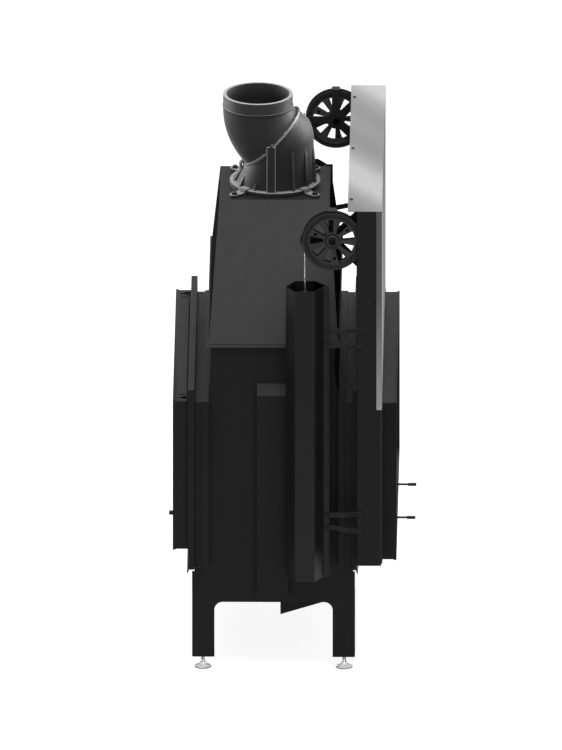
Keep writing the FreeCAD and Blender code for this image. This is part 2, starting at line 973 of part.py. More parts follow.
def foot(name, side_x, side_y):
    """Levelling foot: a coned disc on a stud with a bearing collar."""
    body = new_body(name)
    collar_under = D.leg_bottom - D.collar_height
    outline = [
        (0, 0),
        (D.foot_radius, 0),
        (D.foot_radius, D.foot_rim),
        (D.foot_neck, D.foot_height),
        (D.stud_radius, D.foot_height + D.foot_rim),
        (D.stud_radius, collar_under),
        (D.collar_radius, collar_under),
        (D.collar_radius, D.leg_bottom),
        (D.stud_radius, D.leg_bottom),
        (D.stud_radius, D.stud_top),
        (0, D.stud_top),
    ]
    revolve(body, "XZ", "Z", outline)
    x = (D.wall_half_width - D.foot_inset_x) * side_x
    y = MID + (CHEEK_HALF - D.foot_inset_y) * side_y
    keep(put(body, x, y, 0), name)


# Guillotine housing
def guide_post(name):
    """Channel that guides the lift door, slotted behind for the pulley."""
    body = new_body(name)
    out = -POST_HALF
    thin = D.post_sheet
    outline = [
        (out, POST_FRONT, D.post_bend),
        (out + D.post_front_flange, POST_FRONT),
        (out + D.post_front_flange, POST_FRONT + thin),
        (out + thin, POST_FRONT + thin),
        (out + thin, FRONT_FACE - thin),
        (out + D.post_rear_flange, FRONT_FACE - thin),
        (out + D.post_rear_flange, FRONT_FACE),
        (out, FRONT_FACE, D.post_bend),
    ]
    pad(body, "XY", D.post_bottom, D.post_top, outline)
    slot = rectangle(
        out + thin,
        D.pulley_z - D.pulley_radius - D.bracket_gap,
        -PULLEY_X + D.pulley_width / 2 + D.bracket_gap / 2,
        D.post_top,
    )
    pocket(body, "XZ", FRONT_FACE - thin, FRONT_FACE, slot)
    return body


def door_sill():
    """Folded sill between the posts; the air rods pass through its front web."""
    body = new_body("door_sill")
    thin = D.post_sheet
    front = POST_FRONT + thin
    rear = FRONT_FACE - thin
    outline = [
        (front, D.post_bottom),
        (front + thin, D.post_bottom),
        (front + thin, D.sill_top - thin),
        (rear - thin, D.sill_top - thin),
        (rear - thin, D.post_bottom),
        (rear, D.post_bottom),
        (rear, D.sill_top),
        (front, D.sill_top),
    ]
    half = POST_HALF - D.post_sheet
    pad(body, "YZ", -half, half, outline)
    holes = [(D.rod_x * side, D.rod_z, D.rod_radius + D.axle_play) for side in (-1, 1)]
    pocket(body, "XZ", front, front + thin, *holes)
    keep(body, "door_sill")


def top_cover():
    """Bent cover over the posts: top, front and two narrow side returns."""
    body = new_body("top_cover")
    thin = D.cover_sheet
    out = POST_HALF + thin
    front = POST_FRONT - thin
    top = D.post_top + thin
    pad(body, "XZ", front, POST_FRONT, rectangle(-out, D.cover_bottom, out, top))
    rear = FRONT_FACE + D.cover_rear_overhang
    pad(body, "XY", D.post_top, top, rectangle(-out, front, out, rear))
    side_return = rectangle(front, D.cover_bottom, POST_FRONT + D.cover_return, top)
    pad(body, "YZ", -out, -POST_HALF, side_return)
    pad(body, "YZ", POST_HALF, out, side_return)
    keep(body, "top_cover")


def keyhole_outline(middle, start):
    """Wide hole with a narrow slot that runs outwards from it."""
    broad = D.keyhole_length / 2
    narrow = D.slot_width / 2
    near = start + D.keyhole_start
    shoulder = near + D.keyhole_width
    far = start + D.keyhole_end
    return [
        (middle - broad, near, D.slot_corner),
        (middle + broad, near, D.slot_corner),
        (middle + broad, shoulder, D.slot_corner),
        (middle + narrow, shoulder),
        (middle + narrow, far, D.slot_corner),
        (middle - narrow, far, D.slot_corner),
        (middle - narrow, shoulder),
        (middle - broad, shoulder, D.slot_corner),
    ]


def surround(name, side, start, depth, low, high):
    """Sheet sleeve round a glass front with a slightly flared lip."""
    half = SURROUND_HALF
    thin = D.surround_sheet
    lip_start = start + (depth - D.surround_lip) * side
    end = start + depth * side

    def flared(part_name, inset):
        body = new_body(part_name)
        loft = body.newObject("PartDesign::AdditiveLoft", f"{part_name}_loft")
        grow = D.surround_flare - inset
        sections = []
        for height, out in ((lip_start, -inset), (end, grow)):
            outline = rectangle(-half - out, low - out, half + out, high + out)
            sections.append(new_sketch(body, "XZ", height, [outline]))
        loft.Profile = sections[0]
        loft.Sections = sections[1:]
        loft.Ruled = True
        return body

    lip = cut(f"{name}_lip", flared(f"{name}_lip_outside", size(0)), flared(f"{name}_lip_inside", thin))
    body = new_body(f"{name}_sleeve")
    outside = rectangle(-half, low, half, high)
    inside = rectangle(-half + thin, low + thin, half - thin, high - thin)
    ends = (start, lip_start) if side > 0 else (lip_start, start)
    pad(body, "XZ", *ends, outside, inside)
    if side > 0:
        sheet_ends = (high - thin, high)
        gap = rectangle(-half + thin, start, half - thin, start + D.top_gap)
        pocket(body, "XY", *sheet_ends, gap)
        for edge in (-1, 1):
            keyhole = keyhole_outline(KEYHOLE_X * edge, start)
            slot = rectangle(
                SLOT_X * edge - D.slot_width / 2,
                start + D.slot_start,
                SLOT_X * edge + D.slot_width / 2,
                start + D.slot_end,
                D.slot_corner,
            )
            pocket(body, "XY", *sheet_ends, keyhole, slot)
    else:
        for edge in (-1, 1):
            inner = (half - thin) * edge
            outer = FRONT_FLANGE_HALF * edge
            left, right = (inner, outer) if edge > 0 else (outer, inner)
            flange_front = start - D.plate_sheet
            pad(body, "XZ", flange_front, start, rectangle(left, low, right, high))
    return keep(fuse(name, body, lip), name)


# Doors
DOOR_BACK = FRONT_FACE - D.seal_thick - D.running_gap
DOOR_FRONT = DOOR_BACK - D.door_thick
DOOR_LOW = D.sill_top + D.running_gap
REAR_DOOR_BACK = REAR_FACE + D.rear_seal
REAR_DOOR_FRONT = REAR_DOOR_BACK + D.door_thick
OPENING_HALF = WALL_IN - D.plate_sheet
OPENING_LOW = D.apron_top + D.plate_sheet
OPENING_HIGH = LINTEL_UNDER - D.plate_sheet


def door_frame(name, side, half, low, high, back):
    """Door frame with a glass rebate on the fire side; side is the way it faces."""
    body = new_body(name)
    member = D.door_member
    front = back + D.door_thick * side
    rebate_floor = back + D.glass_thick * 2 * side
    outside = rectangle(-half, low, half, high)
    inner = (half - member, low + member, high - member)
    inside = rectangle(-inner[0], inner[1], inner[0], inner[2])
    ends = (back, front) if side > 0 else (front, back)
    pad(body, "XZ", *ends, outside, inside)
    step = D.door_rebate
    rebate = rectangle(-inner[0] - step, inner[1] - step, inner[0] + step, inner[2] + step)
    ends = (back, rebate_floor) if side > 0 else (rebate_floor, back)
    pocket(body, "XZ", *ends, rebate)
    return body


def door_glass(name, side, half, low, high, back):
    """Ceramic glass pane seated on the floor of the rebate."""
    edge = D.door_member - D.door_rebate + D.glass_play
    floor = back + D.glass_thick * 2 * side
    near = floor - D.glass_thick * side
    ends = (near, floor) if side > 0 else (floor, near)
    pane = box(name, (-half + edge, ends[0], low + edge), (half - edge, ends[1], high - edge))
    keep(pane, name)


def mouth_seal(name, low_y, high_y):
    """Rope seal round a mouth."""
    body = new_body(name)
    wide = D.seal_width
    half = OPENING_HALF + wide
    outside = rectangle(-half, OPENING_LOW - wide, half, OPENING_HIGH + wide, wide)
    inside = rectangle(-OPENING_HALF, OPENING_LOW, OPENING_HALF, OPENING_HIGH)
    pad(body, "XZ", low_y, high_y, outside, inside)
    keep(body, name)


def lift_door():
    frame = (-1, DOOR_HALF, DOOR_LOW, D.door_top, DOOR_BACK)
    keep(door_frame("lift_door_frame", *frame), "lift_door_frame")
    door_glass("lift_door_glass", *frame)
    mouth_seal("lift_door_seal", FRONT_FACE - D.seal_thick, FRONT_FACE)
    plate_rear = DOOR_BACK - D.carrier_set
    plate_front = plate_rear - D.carrier_thick
    tip = -PULLEY_X - D.lug_half
    carriers = []
    blocks = []
    for low, has_lug in ((D.carrier_low, True), (D.carrier_high, False)):
        outline = [(tip, plate_front), (-DOOR_HALF, plate_front), (-DOOR_HALF, plate_rear)]
        if has_lug:
            lug_rear = CABLE_Y + D.lug_half / 2
            inner = -PULLEY_X + D.lug_half
            outline += [(inner, plate_rear), (inner, lug_rear), (tip, lug_rear)]
        else:
            outline += [(tip, plate_rear)]
        body = new_body("door_carrier")
        pad(body, "XY", low, low + D.carrier_height, outline)
        carriers.append(body)
        post_in = POST_HALF - D.post_sheet - D.running_gap
        block_low = low + D.block_inset
        block_high = low + D.carrier_height - D.block_inset
        block_front = POST_FRONT + D.post_sheet + D.running_gap
        blocks.append(
            box(
                "guide_block",
                (-post_in, block_front, block_low),
                (-post_in + D.block_width, plate_front, block_high),
            )
        )
    both_sides("door_carriers", *carriers)
    both_sides("guide_blocks", *blocks)
    handle = new_body("door_handle")
    bar = D.handle_bar
    bar_rear = DOOR_FRONT - D.handle_standoff
    section = rectangle(bar_rear - bar, D.handle_height, bar_rear, D.handle_height + bar, bar / 4)
    pad(handle, "YZ", -D.handle_half_width, D.handle_half_width, section)
    spots = [(D.handle_post_spot * side, D.handle_height + bar / 2, bar / 3) for side in (-1, 1)]
    pad(handle, "XZ", bar_rear - bar / 4, DOOR_FRONT, *spots)
    keep(handle, "door_handle")


def rear_door():
    """Side-hung glass door on two pins, with its seal and a turning latch."""
    frame = (1, REAR_DOOR_HALF, D.rear_door_bottom, D.rear_door_top, REAR_DOOR_BACK)
    body = door_frame("rear_door_frame", *frame)
    pin_y = REAR_FACE + D.hinge_out
    bore = (HINGE_X, pin_y, D.hinge_pin_radius + D.axle_play)
    low = D.rear_door_bottom
    high = D.rear_door_top
    pocket(body, "XY", low, low + D.hinge_pin_length, bore)
    pocket(body, "XY", high - D.hinge_pin_length, high, bore)
    shaft_bore = (-LATCH_X, D.latch_z, D.latch_shaft + D.axle_play)
    shaft_end = REAR_DOOR_FRONT - D.latch_depth
    pocket(body, "XZ", shaft_end, REAR_DOOR_FRONT, shaft_bore)
    keep(body, "rear_door_frame")
    door_glass("rear_door_glass", *frame)
    mouth_seal("rear_door_seal", REAR_FACE + D.running_gap, REAR_DOOR_BACK)
    seat_low = D.rear_surround_bottom + D.surround_sheet
    seat_high = D.rear_surround_top - D.surround_sheet
    hinges = []
    pin_reach = D.hinge_pin_length - D.hinge_pin_play
    for seat, pin_end, washer_end in (
        (seat_low, low + pin_reach, low - D.running_gap),
        (seat_high, high - pin_reach, high + D.running_gap),
    ):
        upward = pin_end.value > seat.value
        pin_low, pin_high = (seat, pin_end) if upward else (pin_end, seat)
        washer_low, washer_high = (seat, washer_end) if upward else (washer_end, seat)
        pin = cylinder("hinge_pin", D.hinge_pin_radius, pin_high - pin_low, (HINGE_X, pin_y, pin_low))
        washer = cylinder(
            "hinge_washer", D.hinge_washer, washer_high - washer_low, (HINGE_X, pin_y, washer_low)
        )
        hinges.append(fuse("hinge", pin, washer))
    keep(group("rear_hinge_pins", *hinges), "rear_hinge_pins")


def rear_latch():
    """Latch handle on a shaft in the door frame."""
    x = -LATCH_X
    hub = D.latch_shaft * 2
    seat = REAR_DOOR_FRONT + D.running_gap
    tip = REAR_DOOR_FRONT + D.latch_reach
    shaft = cylinder(
        "latch_shaft",
        D.latch_shaft,
        D.latch_depth,
        (x, REAR_DOOR_FRONT - D.latch_depth + D.running_gap * 2, D.latch_z),
        "Y",
    )
    arm = new_body("latch_arm")
    arm_depth = D.latch_shaft * 2
    drop = D.latch_z - D.latch_grip
    outline = [
        (seat, D.latch_z + hub, D.latch_shaft),
        (seat, drop - hub, D.latch_shaft),
        (tip, drop - hub, D.latch_shaft / 2),
        (tip, drop, D.latch_shaft / 2),
        (seat + arm_depth, drop, D.latch_shaft / 2),
        (seat + arm_depth, D.latch_z + hub, D.latch_shaft / 2),
    ]
    pad(arm, "YZ", x - hub, x + hub, outline)
    keep(fuse("rear_latch", shaft, arm), "rear_latch")


# Counterweight drive
def pulley(name):
    """Spoked wheel with a cable groove and dimples on three spokes."""
    body = new_body(name)
    half = D.pulley_width / 2
    web = D.pulley_web / 2
    bore = D.axle_radius + D.axle_play
    groove_floor = D.cable_pitch - D.cable_radius - D.groove_play
    groove_low = D.cable_radius + D.groove_play
    groove_top = D.groove_half_width
    rim_inside = groove_floor - groove_low
    outline = [
        (-half, bore),
        (half, bore),
        (half, D.hub_radius),
        (web, D.hub_radius),
        (web, rim_inside - web / 2),
        (half, rim_inside),
        (half, D.pulley_radius),
        (groove_top, D.pulley_radius),
        (groove_low, groove_floor),
        (-groove_low, groove_floor),
        (-groove_top, D.pulley_radius),
        (-half, D.pulley_radius),
        (-half, rim_inside),
        (-web, rim_inside - web / 2),
        (-web, D.hub_radius),
        (-half, D.hub_radius),
    ]
    revolve(body, "XY", "X", outline)
    narrow = D.window_inner_width / 2
    broad = D.window_outer_width / 2
    window = [
        (-narrow, D.window_inner, D.window_corner),
        (narrow, D.window_inner, D.window_corner),
        (broad, D.window_outer, D.window_corner),
        (-broad, D.window_outer, D.window_corner),
    ]
    cutter = pocket(body, "YZ", -web, web, window)
    pattern = body.newObject("PartDesign::PolarPattern", f"{name}_windows")
    pattern.Originals = [cutter]
    pattern.Axis = (origin_item(body, "X_Axis"), [""])
    pattern.Angle = 360
    pattern.setExpression("Occurrences", D.window_count.text)
    body.Tip = pattern
    dimples = []
    for spoke in (60, 180, 300):
        across = D.dimple_place * sine(spoke)
        dimples.append((across, D.dimple_place * cosine(spoke), D.dimple_radius))
    pocket(body, "YZ", -web, -web + D.dimple_depth, *dimples)
    pocket(body, "YZ", web - D.dimple_depth, web, *dimples)
    tilt(body, D.window_turn)
    return put(body, -PULLEY_X, PULLEY_Y, D.pulley_z)


BRACKET_OUT = PULLEY_X - D.pulley_width / 2 - D.bracket_gap
BRACKET_IN = BRACKET_OUT - D.bracket_sheet


def pulley_bracket(name):
    """Four-armed plate on the post with an axle boss and two tabs that keep the cable in its groove."""
    body = new_body(name)
    cy = PULLEY_Y
    cz = D.pulley_z
    arm = D.bracket_arm / 2
    tab_low = D.pulley_radius + D.tab_gap
    reach = tab_low + D.tab_thick
    slant = arm / COS45
    far = cy - FRONT_FACE
    outline = [
        (FRONT_FACE, cz - far - slant),
        (cy + slant - arm, cz - arm),
        (cy + reach, cz - arm),
        (cy + reach, cz + arm),
        (cy + arm, cz + arm),
        (cy + arm, cz + reach),
        (cy - arm, cz + reach),
        (cy - arm, cz + arm + slant),
        (FRONT_FACE, cz + far + slant),
        (FRONT_FACE, cz + far - slant),
        (cy - slant, cz),
        (FRONT_FACE, cz - far + slant),
    ]
    pad(body, "YZ", -BRACKET_OUT, -BRACKET_IN, outline)
    pad(body, "YZ", -BRACKET_OUT, -BRACKET_IN, (cy, cz, D.bracket_hub))
    wheel_out = -PULLEY_X - D.pulley_width / 2
    top_tab = rectangle(cy - arm, cz + tab_low, cy + arm, cz + reach)
    rear_tab = rectangle(cy + tab_low, cz - arm, cy + reach, cz + arm)
    pad(body, "YZ", wheel_out, -BRACKET_OUT, top_tab)
    pad(body, "YZ", wheel_out, -BRACKET_OUT, rear_tab)
    boss_end = -PULLEY_X + D.pulley_width / 2 + D.running_gap
    pad(body, "YZ", boss_end, -BRACKET_OUT, (cy, cz, D.axle_head_radius))
    pocket(body, "YZ", boss_end, -BRACKET_IN, (cy, cz, D.axle_radius + D.axle_play))
    return body


def hexagon(name, radius, height, place):
    """Six-sided bolt head or nut with its axis along +X."""
    part = doc.addObject("Part::Prism", name)
    part.Polygon = 6
    bind(part, Circumradius=radius, Height=height)
    part.Placement = FreeCAD.Placement(FreeCAD.Vector(), FreeCAD.Rotation(FreeCAD.Vector(0, 1, 0), 90))
    return put(part, *place)


def pulley_axles():
    """Bolt through the wheel and its bracket, with a nut behind."""
    head_seat = -PULLEY_X - D.pulley_width / 2 - D.running_gap
    nut_end = -BRACKET_IN + D.axle_head
    centre = (PULLEY_Y, D.pulley_z)
    shaft = cylinder("axle_shaft", D.axle_radius, nut_end - head_seat, (head_seat, *centre), "X")
    head = hexagon("axle_head", D.axle_head_radius, D.axle_head, (head_seat - D.axle_head, *centre))
    nut = hexagon("axle_nut", D.axle_head_radius, D.axle_head, (-BRACKET_IN, *centre))
    both_sides("pulley_axles", fuse("pulley_axle", head, shaft, nut))


def hexagon_outline(x, y, corner):
    """Hexagon with two corners along Y."""
    flat = corner * HEX_FLAT
    half = corner / 2
    return [
        (x, y - corner),
        (x + flat, y - half),
        (x + flat, y + half),
        (x, y + corner),
        (x - flat, y + half),
        (x - flat, y - half),
    ]


def counterweight_tube(name):
    """Hexagonal sheet tube with a closed foot and a flat seam along its front corner."""
    body = new_body(name)
    x = -PULLEY_X
    inner = D.tube_corner - D.tube_sheet / HEX_FLAT
    seam_front = TUBE_Y - D.tube_corner - D.seam_width
    seam_half = D.seam_thick / 2
    pad(body, "XY", D.tube_bottom, D.tube_top, hexagon_outline(x, TUBE_Y, D.tube_corner))
    seam = rectangle(x - seam_half, seam_front, x + seam_half, TUBE_Y - D.tube_corner + D.tube_sheet)
    pad(body, "XY", D.tube_bottom, D.tube_top, seam)
    hollow = hexagon_outline(x, TUBE_Y, inner)
    pocket(body, "XY", D.tube_bottom + D.tube_sheet, D.tube_top, hollow)
    return body


def tube_brackets():
    """Bent arms from the post to the seam of the tube, drawn together towards the tube."""
    thin = D.arm_sheet
    post = -POST_HALF
    seam = -PULLEY_X - D.seam_thick / 2
    post_end = FRONT_FACE - D.arm_reach
    knee = FRONT_FACE + D.arm_knee
    seam_front = TUBE_Y - D.tube_corner - D.seam_width
    seam_end = seam_front + D.seam_width - thin
    plan = [
        (post, post_end),
        (post - thin, post_end),
        (post - thin, knee),
        (seam - thin, seam_front),
        (seam - thin, seam_end),
        (seam, seam_end),
        (seam, seam_front - thin / 2),
        (post, knee - thin / 2),
    ]
    arms = []
    for level in (D.arm_upper_z, D.arm_lower_z):
        for side in (1, -1):
            at_post = level + D.arm_post_spacing / 2 * side
            at_tube = level + D.arm_tube_spacing / 2 * side
            half = D.arm_height / 2
            reach = D.arm_post_spacing
            flat = new_body("arm_plan")
            pad(flat, "XY", level - reach, level + reach, plan)
            upright = new_body("arm_side")
            side_view = [
                (post_end, at_post - half),
                (FRONT_FACE, at_post - half),
                (seam_end, at_tube - half),
                (seam_end, at_tube + half),
                (FRONT_FACE, at_post + half),
                (post_end, at_post + half),
            ]
            pad(upright, "YZ", post - thin, seam, side_view)
            arms.append(common("tube_arm", flat, upright))
    both_sides("tube_brackets", *arms)


def counterweight(name):
    """Turned weight with a cable bore and a ferrule on top."""
    body = new_body(name)
    top = D.weight_top
    bottom = top - D.weight_length
    outline = [
        (D.weight_bore, bottom),
        (D.weight_radius, bottom),
        (D.weight_radius, top),
        (D.ferrule_radius, top),
        (D.ferrule_radius, top + D.ferrule_height),
        (D.weight_bore, top + D.ferrule_height),
    ]
    revolve(body, "XZ", "Z", outline)
    return put(body, -PULLEY_X, TUBE_Y, 0)


def lift_cable(name):
    """Wire rope: up from the door carrier, over the pulley and down through the weight."""
    over = doc.addObject("Part::Torus", f"{name}_over")
    bind(over, Radius1=D.cable_pitch, Radius2=D.cable_radius)
    over.Angle3 = HALF_TURN
    turn = FreeCAD.Rotation(FreeCAD.Vector(1, 1, 1), 120)
    over.Placement = FreeCAD.Placement(FreeCAD.Vector(), turn)
    x = -PULLEY_X
    put(over, x, PULLEY_Y, D.pulley_z)
    door_end = D.carrier_low + D.carrier_height
    weight_end = D.weight_top - D.weight_length
    runs = [
        cylinder(f"{name}_run", D.cable_radius, D.pulley_z - low_end, (x, y, low_end))
        for y, low_end in ((CABLE_Y, door_end), (TUBE_Y, weight_end))
    ]
    return fuse(name, over, *runs)


# Air control
def air_rod(name):
    """Pull rod with a thicker grip and a stop collar behind the sill's front web."""
    body = new_body(name)
    front = MID - POST_FRONT
    tip = front + D.rod_reach
    stop = front - D.post_sheet * 2 - D.running_gap
    end = stop - D.rod_stop_length
    outline = [
        (0, tip),
        (D.grip_radius, tip),
        (D.grip_radius, tip - D.grip_length),
        (D.rod_radius, tip - D.grip_length),
        (D.rod_radius, stop),
        (D.grip_radius, stop),
        (D.grip_radius, end),
        (0, end),
    ]
    flipped = [(x, -y) for x, y in outline]
    revolve(body, "XY", "Y", flipped)
    return put(body, -D.rod_x, MID, D.rod_z)


# Flue
JOINT_Y = MID + D.joint_shift
FLANGE_TOP = D.hood_top + D.flue_flange_thick
RIM_RADIUS = D.joint_radius + D.joint_rim


def on_joint(across, along):
    """Y and Z of a point beside the joint's centre: across towards the low rear side, along the axis."""
    y = JOINT_Y + size(across) * cosine(D.joint_tilt) + size(along) * sine(D.joint_tilt)
    z = D.joint_height - size(across) * sine(D.joint_tilt) + size(along) * cosine(D.joint_tilt)
    return y, z


def ring(name, radius, y, z, angle=None):
    """Circle section of a casting."""
    circle = doc.addObject("Part::Circle", name)
    bind(circle, Radius=radius)
    if angle is not None:
        tilt(circle, angle)
    return put(circle, 0, y, z)


def loft(name, *sections):
    body = doc.addObject("Part::Loft", name)
    body.Sections = list(sections)
    body.Solid = True
    return body


def tilted_disc(name, radius, thick, along):
    """Disc square to the joint's axis, starting at a distance along it."""
    y, z = on_joint(0, along)
    disc = cylinder(name, radius, thick, (0, y, z))
    tilt(disc, D.joint_tilt)
    return put(disc, 0, y, z)


def flue_throat(name, inset, end):
    """Tube of the lower casting: a cone up to the tilted joint, with a rounded, bulging front."""
    foot = ring(f"{name}_foot", D.flue_base_radius - inset, MID, FLANGE_TOP)
    head = ring(f"{name}_head", D.joint_radius - inset, *on_joint(0, end), D.joint_tilt)
    cone = loft(f"{name}_cone", foot, head)
    round_radius = D.flue_base_radius - inset - D.casting_step
    upright_length = D.ball_height - FLANGE_TOP
    upright = cylinder(f"{name}_upright", round_radius, upright_length, (0, MID, FLANGE_TOP))
    ball = doc.addObject("Part::Sphere", f"{name}_ball")
    put(bind(ball, Radius=round_radius), 0, MID, D.ball_height)
    barrel_radius = D.joint_radius - inset - D.casting_step
    barrel_start = end - D.casting_step - D.barrel_length
    barrel = tilted_disc(f"{name}_barrel", barrel_radius, D.barrel_length, barrel_start)
    front = common(f"{name}_front", fuse(f"{name}_round", upright, ball), barrel)
    return fuse(name, cone, front)


def flue_lug(corner):
    """Strap that steps from the flange ring down to the hood, drilled for a bolt."""
    lug = new_body("flue_lug")
    half = D.lug_width / 2
    end = D.lug_reach + D.lug_end
    strap = [
        (D.flue_base_radius, -half),
        (end, -half, D.lug_end - D.axle_play),
        (end, half, D.lug_end - D.axle_play),
        (D.flue_base_radius, half),
    ]
    pad(lug, "XY", 0, D.lug_thick, strap)
    pocket(lug, "XY", 0, D.lug_thick, (D.lug_reach, 0, D.lug_bore))
    step_top = D.flue_flange_thick + D.lug_thick / 2
    shoulder = D.flue_flange_radius + D.lug_step
    step = [
        (D.flue_base_radius, 0),
        (shoulder, 0),
        (shoulder, D.lug_thick),
        (D.flue_flange_radius, step_top),
        (D.flue_base_radius, step_top),
    ]
    pad(lug, "XZ", -half, half, step)
    turn = FreeCAD.Rotation(FreeCAD.Vector(0, 0, 1), 45 + 90 * corner)
    lug.Placement = FreeCAD.Placement(FreeCAD.Vector(), turn)
    return put(lug, 0, MID, D.hood_top)


def flue_rib(from_front, height, lean):
    """Upright web on the flange at an angle from the front."""
    rib = new_body("flue_rib")
    root = D.flue_base_radius / 2
    outline = [
        (root, 0),
        (D.flue_base_radius + D.rib_foot, 0),
        (D.flue_base_radius - lean, height),
        (root, height),
    ]
    half = D.rib_thick / 2
    pad(rib, "XZ", -half, half, outline)
    angle = size(from_front).value - 90
    rib.Placement = FreeCAD.Placement(FreeCAD.Vector(), FreeCAD.Rotation(FreeCAD.Vector(0, 0, 1), angle))
    return put(rib, 0, MID, FLANGE_TOP)


def flue_base():
    """Lower casting: bolted flange with four lugs, ribs, and a tilted seat for the elbow."""
    half_rim = D.joint_rim_thick / 2
    outside = flue_throat("flue_throat", size(0), -half_rim)
    inside = flue_throat("flue_throat_bore", D.flue_wall, half_rim)
    flange = cylinder("flue_flange", D.flue_flange_radius, D.flue_flange_thick, (0, MID, D.hood_top))
    flange_bore = cylinder(
        "flue_flange_bore", D.flue_base_radius - D.flue_wall, D.flue_flange_thick, (0, MID, D.hood_top)
    )
    seat = tilted_disc("flue_seat", RIM_RADIUS, D.joint_rim_thick, -D.joint_rim_thick)
    lugs = [flue_lug(corner) for corner in range(4)]
    rib_count = int(D.rib_count.value)
    ribs = []
    for step in range(rib_count):
        from_front = D.rib_spread * (step - (rib_count - 1) / 2)
        ribs.append(flue_rib(from_front, D.rib_height, size(0)))
    for side in (-1, 1):
        for from_rear in (D.rear_rib_inner, D.rear_rib_outer):
            ribs.append(flue_rib(HALF_TURN + from_rear * side, D.rear_rib_height, D.rear_rib_lean))
    solid = fuse("flue_solid", outside, flange, seat, *lugs, *ribs)
    bored = cut("flue_bored", solid, flange_bore)
    keep(cut("flue_base", bored, inside), "flue_base")


def flue_elbow():
    """Upper casting: turns on the tilted seat and ends in the stove-pipe collar."""
    steps = (1, 2 / 3, 1 / 3, 0)
    neck = D.joint_radius - D.joint_rim
    start_y = JOINT_Y + D.joint_gap * sine(D.joint_tilt)
    start_z = D.joint_height + D.joint_gap * cosine(D.joint_tilt)

    def bend(name, start_radius, end_radius):
        sections = []
        for step in steps:
            angle = D.joint_tilt * step
            radius = end_radius + (start_radius - end_radius) * step
            y = start_y + D.elbow_bend * (cosine(angle) - cosine(D.joint_tilt))
            z = start_z + D.elbow_bend * (sine(D.joint_tilt) - sine(angle))
            sections.append(ring(f"{name}_ring", radius, y, z, angle if step else None))
        return loft(name, *sections)

    top_y = start_y + D.elbow_bend * (1 - cosine(D.joint_tilt))
    bend_top = start_z + D.elbow_bend * sine(D.joint_tilt)
    bore = D.collar_outer - D.collar_wall
    outside = bend("elbow_outside", neck, D.collar_outer)
    inside = bend("elbow_bore", neck - D.flue_wall, bore)
    collar = cylinder("elbow_collar", D.collar_outer, D.flue_top - bend_top, (0, top_y, bend_top))
    collar_bore = cylinder("elbow_collar_bore", bore, D.flue_top - bend_top, (0, top_y, bend_top))
    bead = cylinder("elbow_bead", D.collar_outer + D.collar_bead, D.collar_bead_height, (0, top_y, bend_top))
    rim = tilted_disc("elbow_rim", RIM_RADIUS, D.joint_rim_thick, D.joint_gap)
    rim_bore = tilted_disc("elbow_rim_bore", neck - D.flue_wall, D.joint_rim_thick, D.joint_gap)
    solid = fuse("elbow_solid", outside, collar, bead, rim)
    hollow = fuse("elbow_hollow", inside, collar_bore, rim_bore)
    keep(cut("flue_elbow", solid, hollow), "flue_elbow")


def flue_clamps():
    """Bars at both sides and the rear that stand on the flange and hook over the elbow's rim."""
    half = D.clamp_width / 2
    thick = D.clamp_thick
    near = RIM_RADIUS + D.clamp_gap
    far = near + thick
    hook = D.joint_radius - D.clamp_gap
    above = D.joint_gap + D.joint_rim_thick + D.joint_gap
    top = above + thick
    clamps = []
    for side in (-1, 1):
        x_near = near * side
        x_far = far * side
        left, right = (x_near, x_far) if side > 0 else (x_far, x_near)
        bar = box(
            "clamp_bar",
            (left, JOINT_Y - half, FLANGE_TOP),
            (right, JOINT_Y + half, D.joint_height + top),
        )
        x_hook = hook * side
        left, right = (x_hook, x_far) if side > 0 else (x_far, x_hook)
        y, z = on_joint(-half, above)
        claw = doc.addObject("Part::Box", "clamp_claw")
        bind(claw, Length=right - left, Width=half * 2, Height=thick)
        tilt(claw, D.joint_tilt)
        put(claw, left, y, z)
        clamps.append(fuse("clamp_side", bar, claw))
    foot_near = MID + D.flue_base_radius + D.clamp_gap * 2
    waist = far + D.clamp_gap * 2
    below = -D.joint_rim_thick * 2
    rear_bar = new_body("clamp_rear")
    outline = [
        (foot_near + thick, FLANGE_TOP),
        (foot_near, FLANGE_TOP),
        on_joint(waist, below),
        on_joint(near, above),
        on_joint(hook, above),
        on_joint(hook, top),
        on_joint(far + D.clamp_gap, top),
        on_joint(waist + thick, below),
    ]
    pad(rear_bar, "YZ", -half, half, outline)
    clamps.append(rear_bar)
    keep(group("flue_clamps", *clamps), "flue_clamps")


# Fasteners
def dome_screw(name, place, axis, side):
    """Low domed screw head standing on a face."""
    head = doc.addObject("Part::Cone", name)
    bind(head, Radius1=D.screw_head, Radius2=D.screw_crown, Height=D.screw_dome)
    turns = {
        ("X", -1): FreeCAD.Rotation(FreeCAD.Vector(0, 1, 0), -90),
        ("Z", 1): FreeCAD.Rotation(),
    }
    head.Placement = FreeCAD.Placement(FreeCAD.Vector(), turns[(axis, side)])
    return put(head, *place)


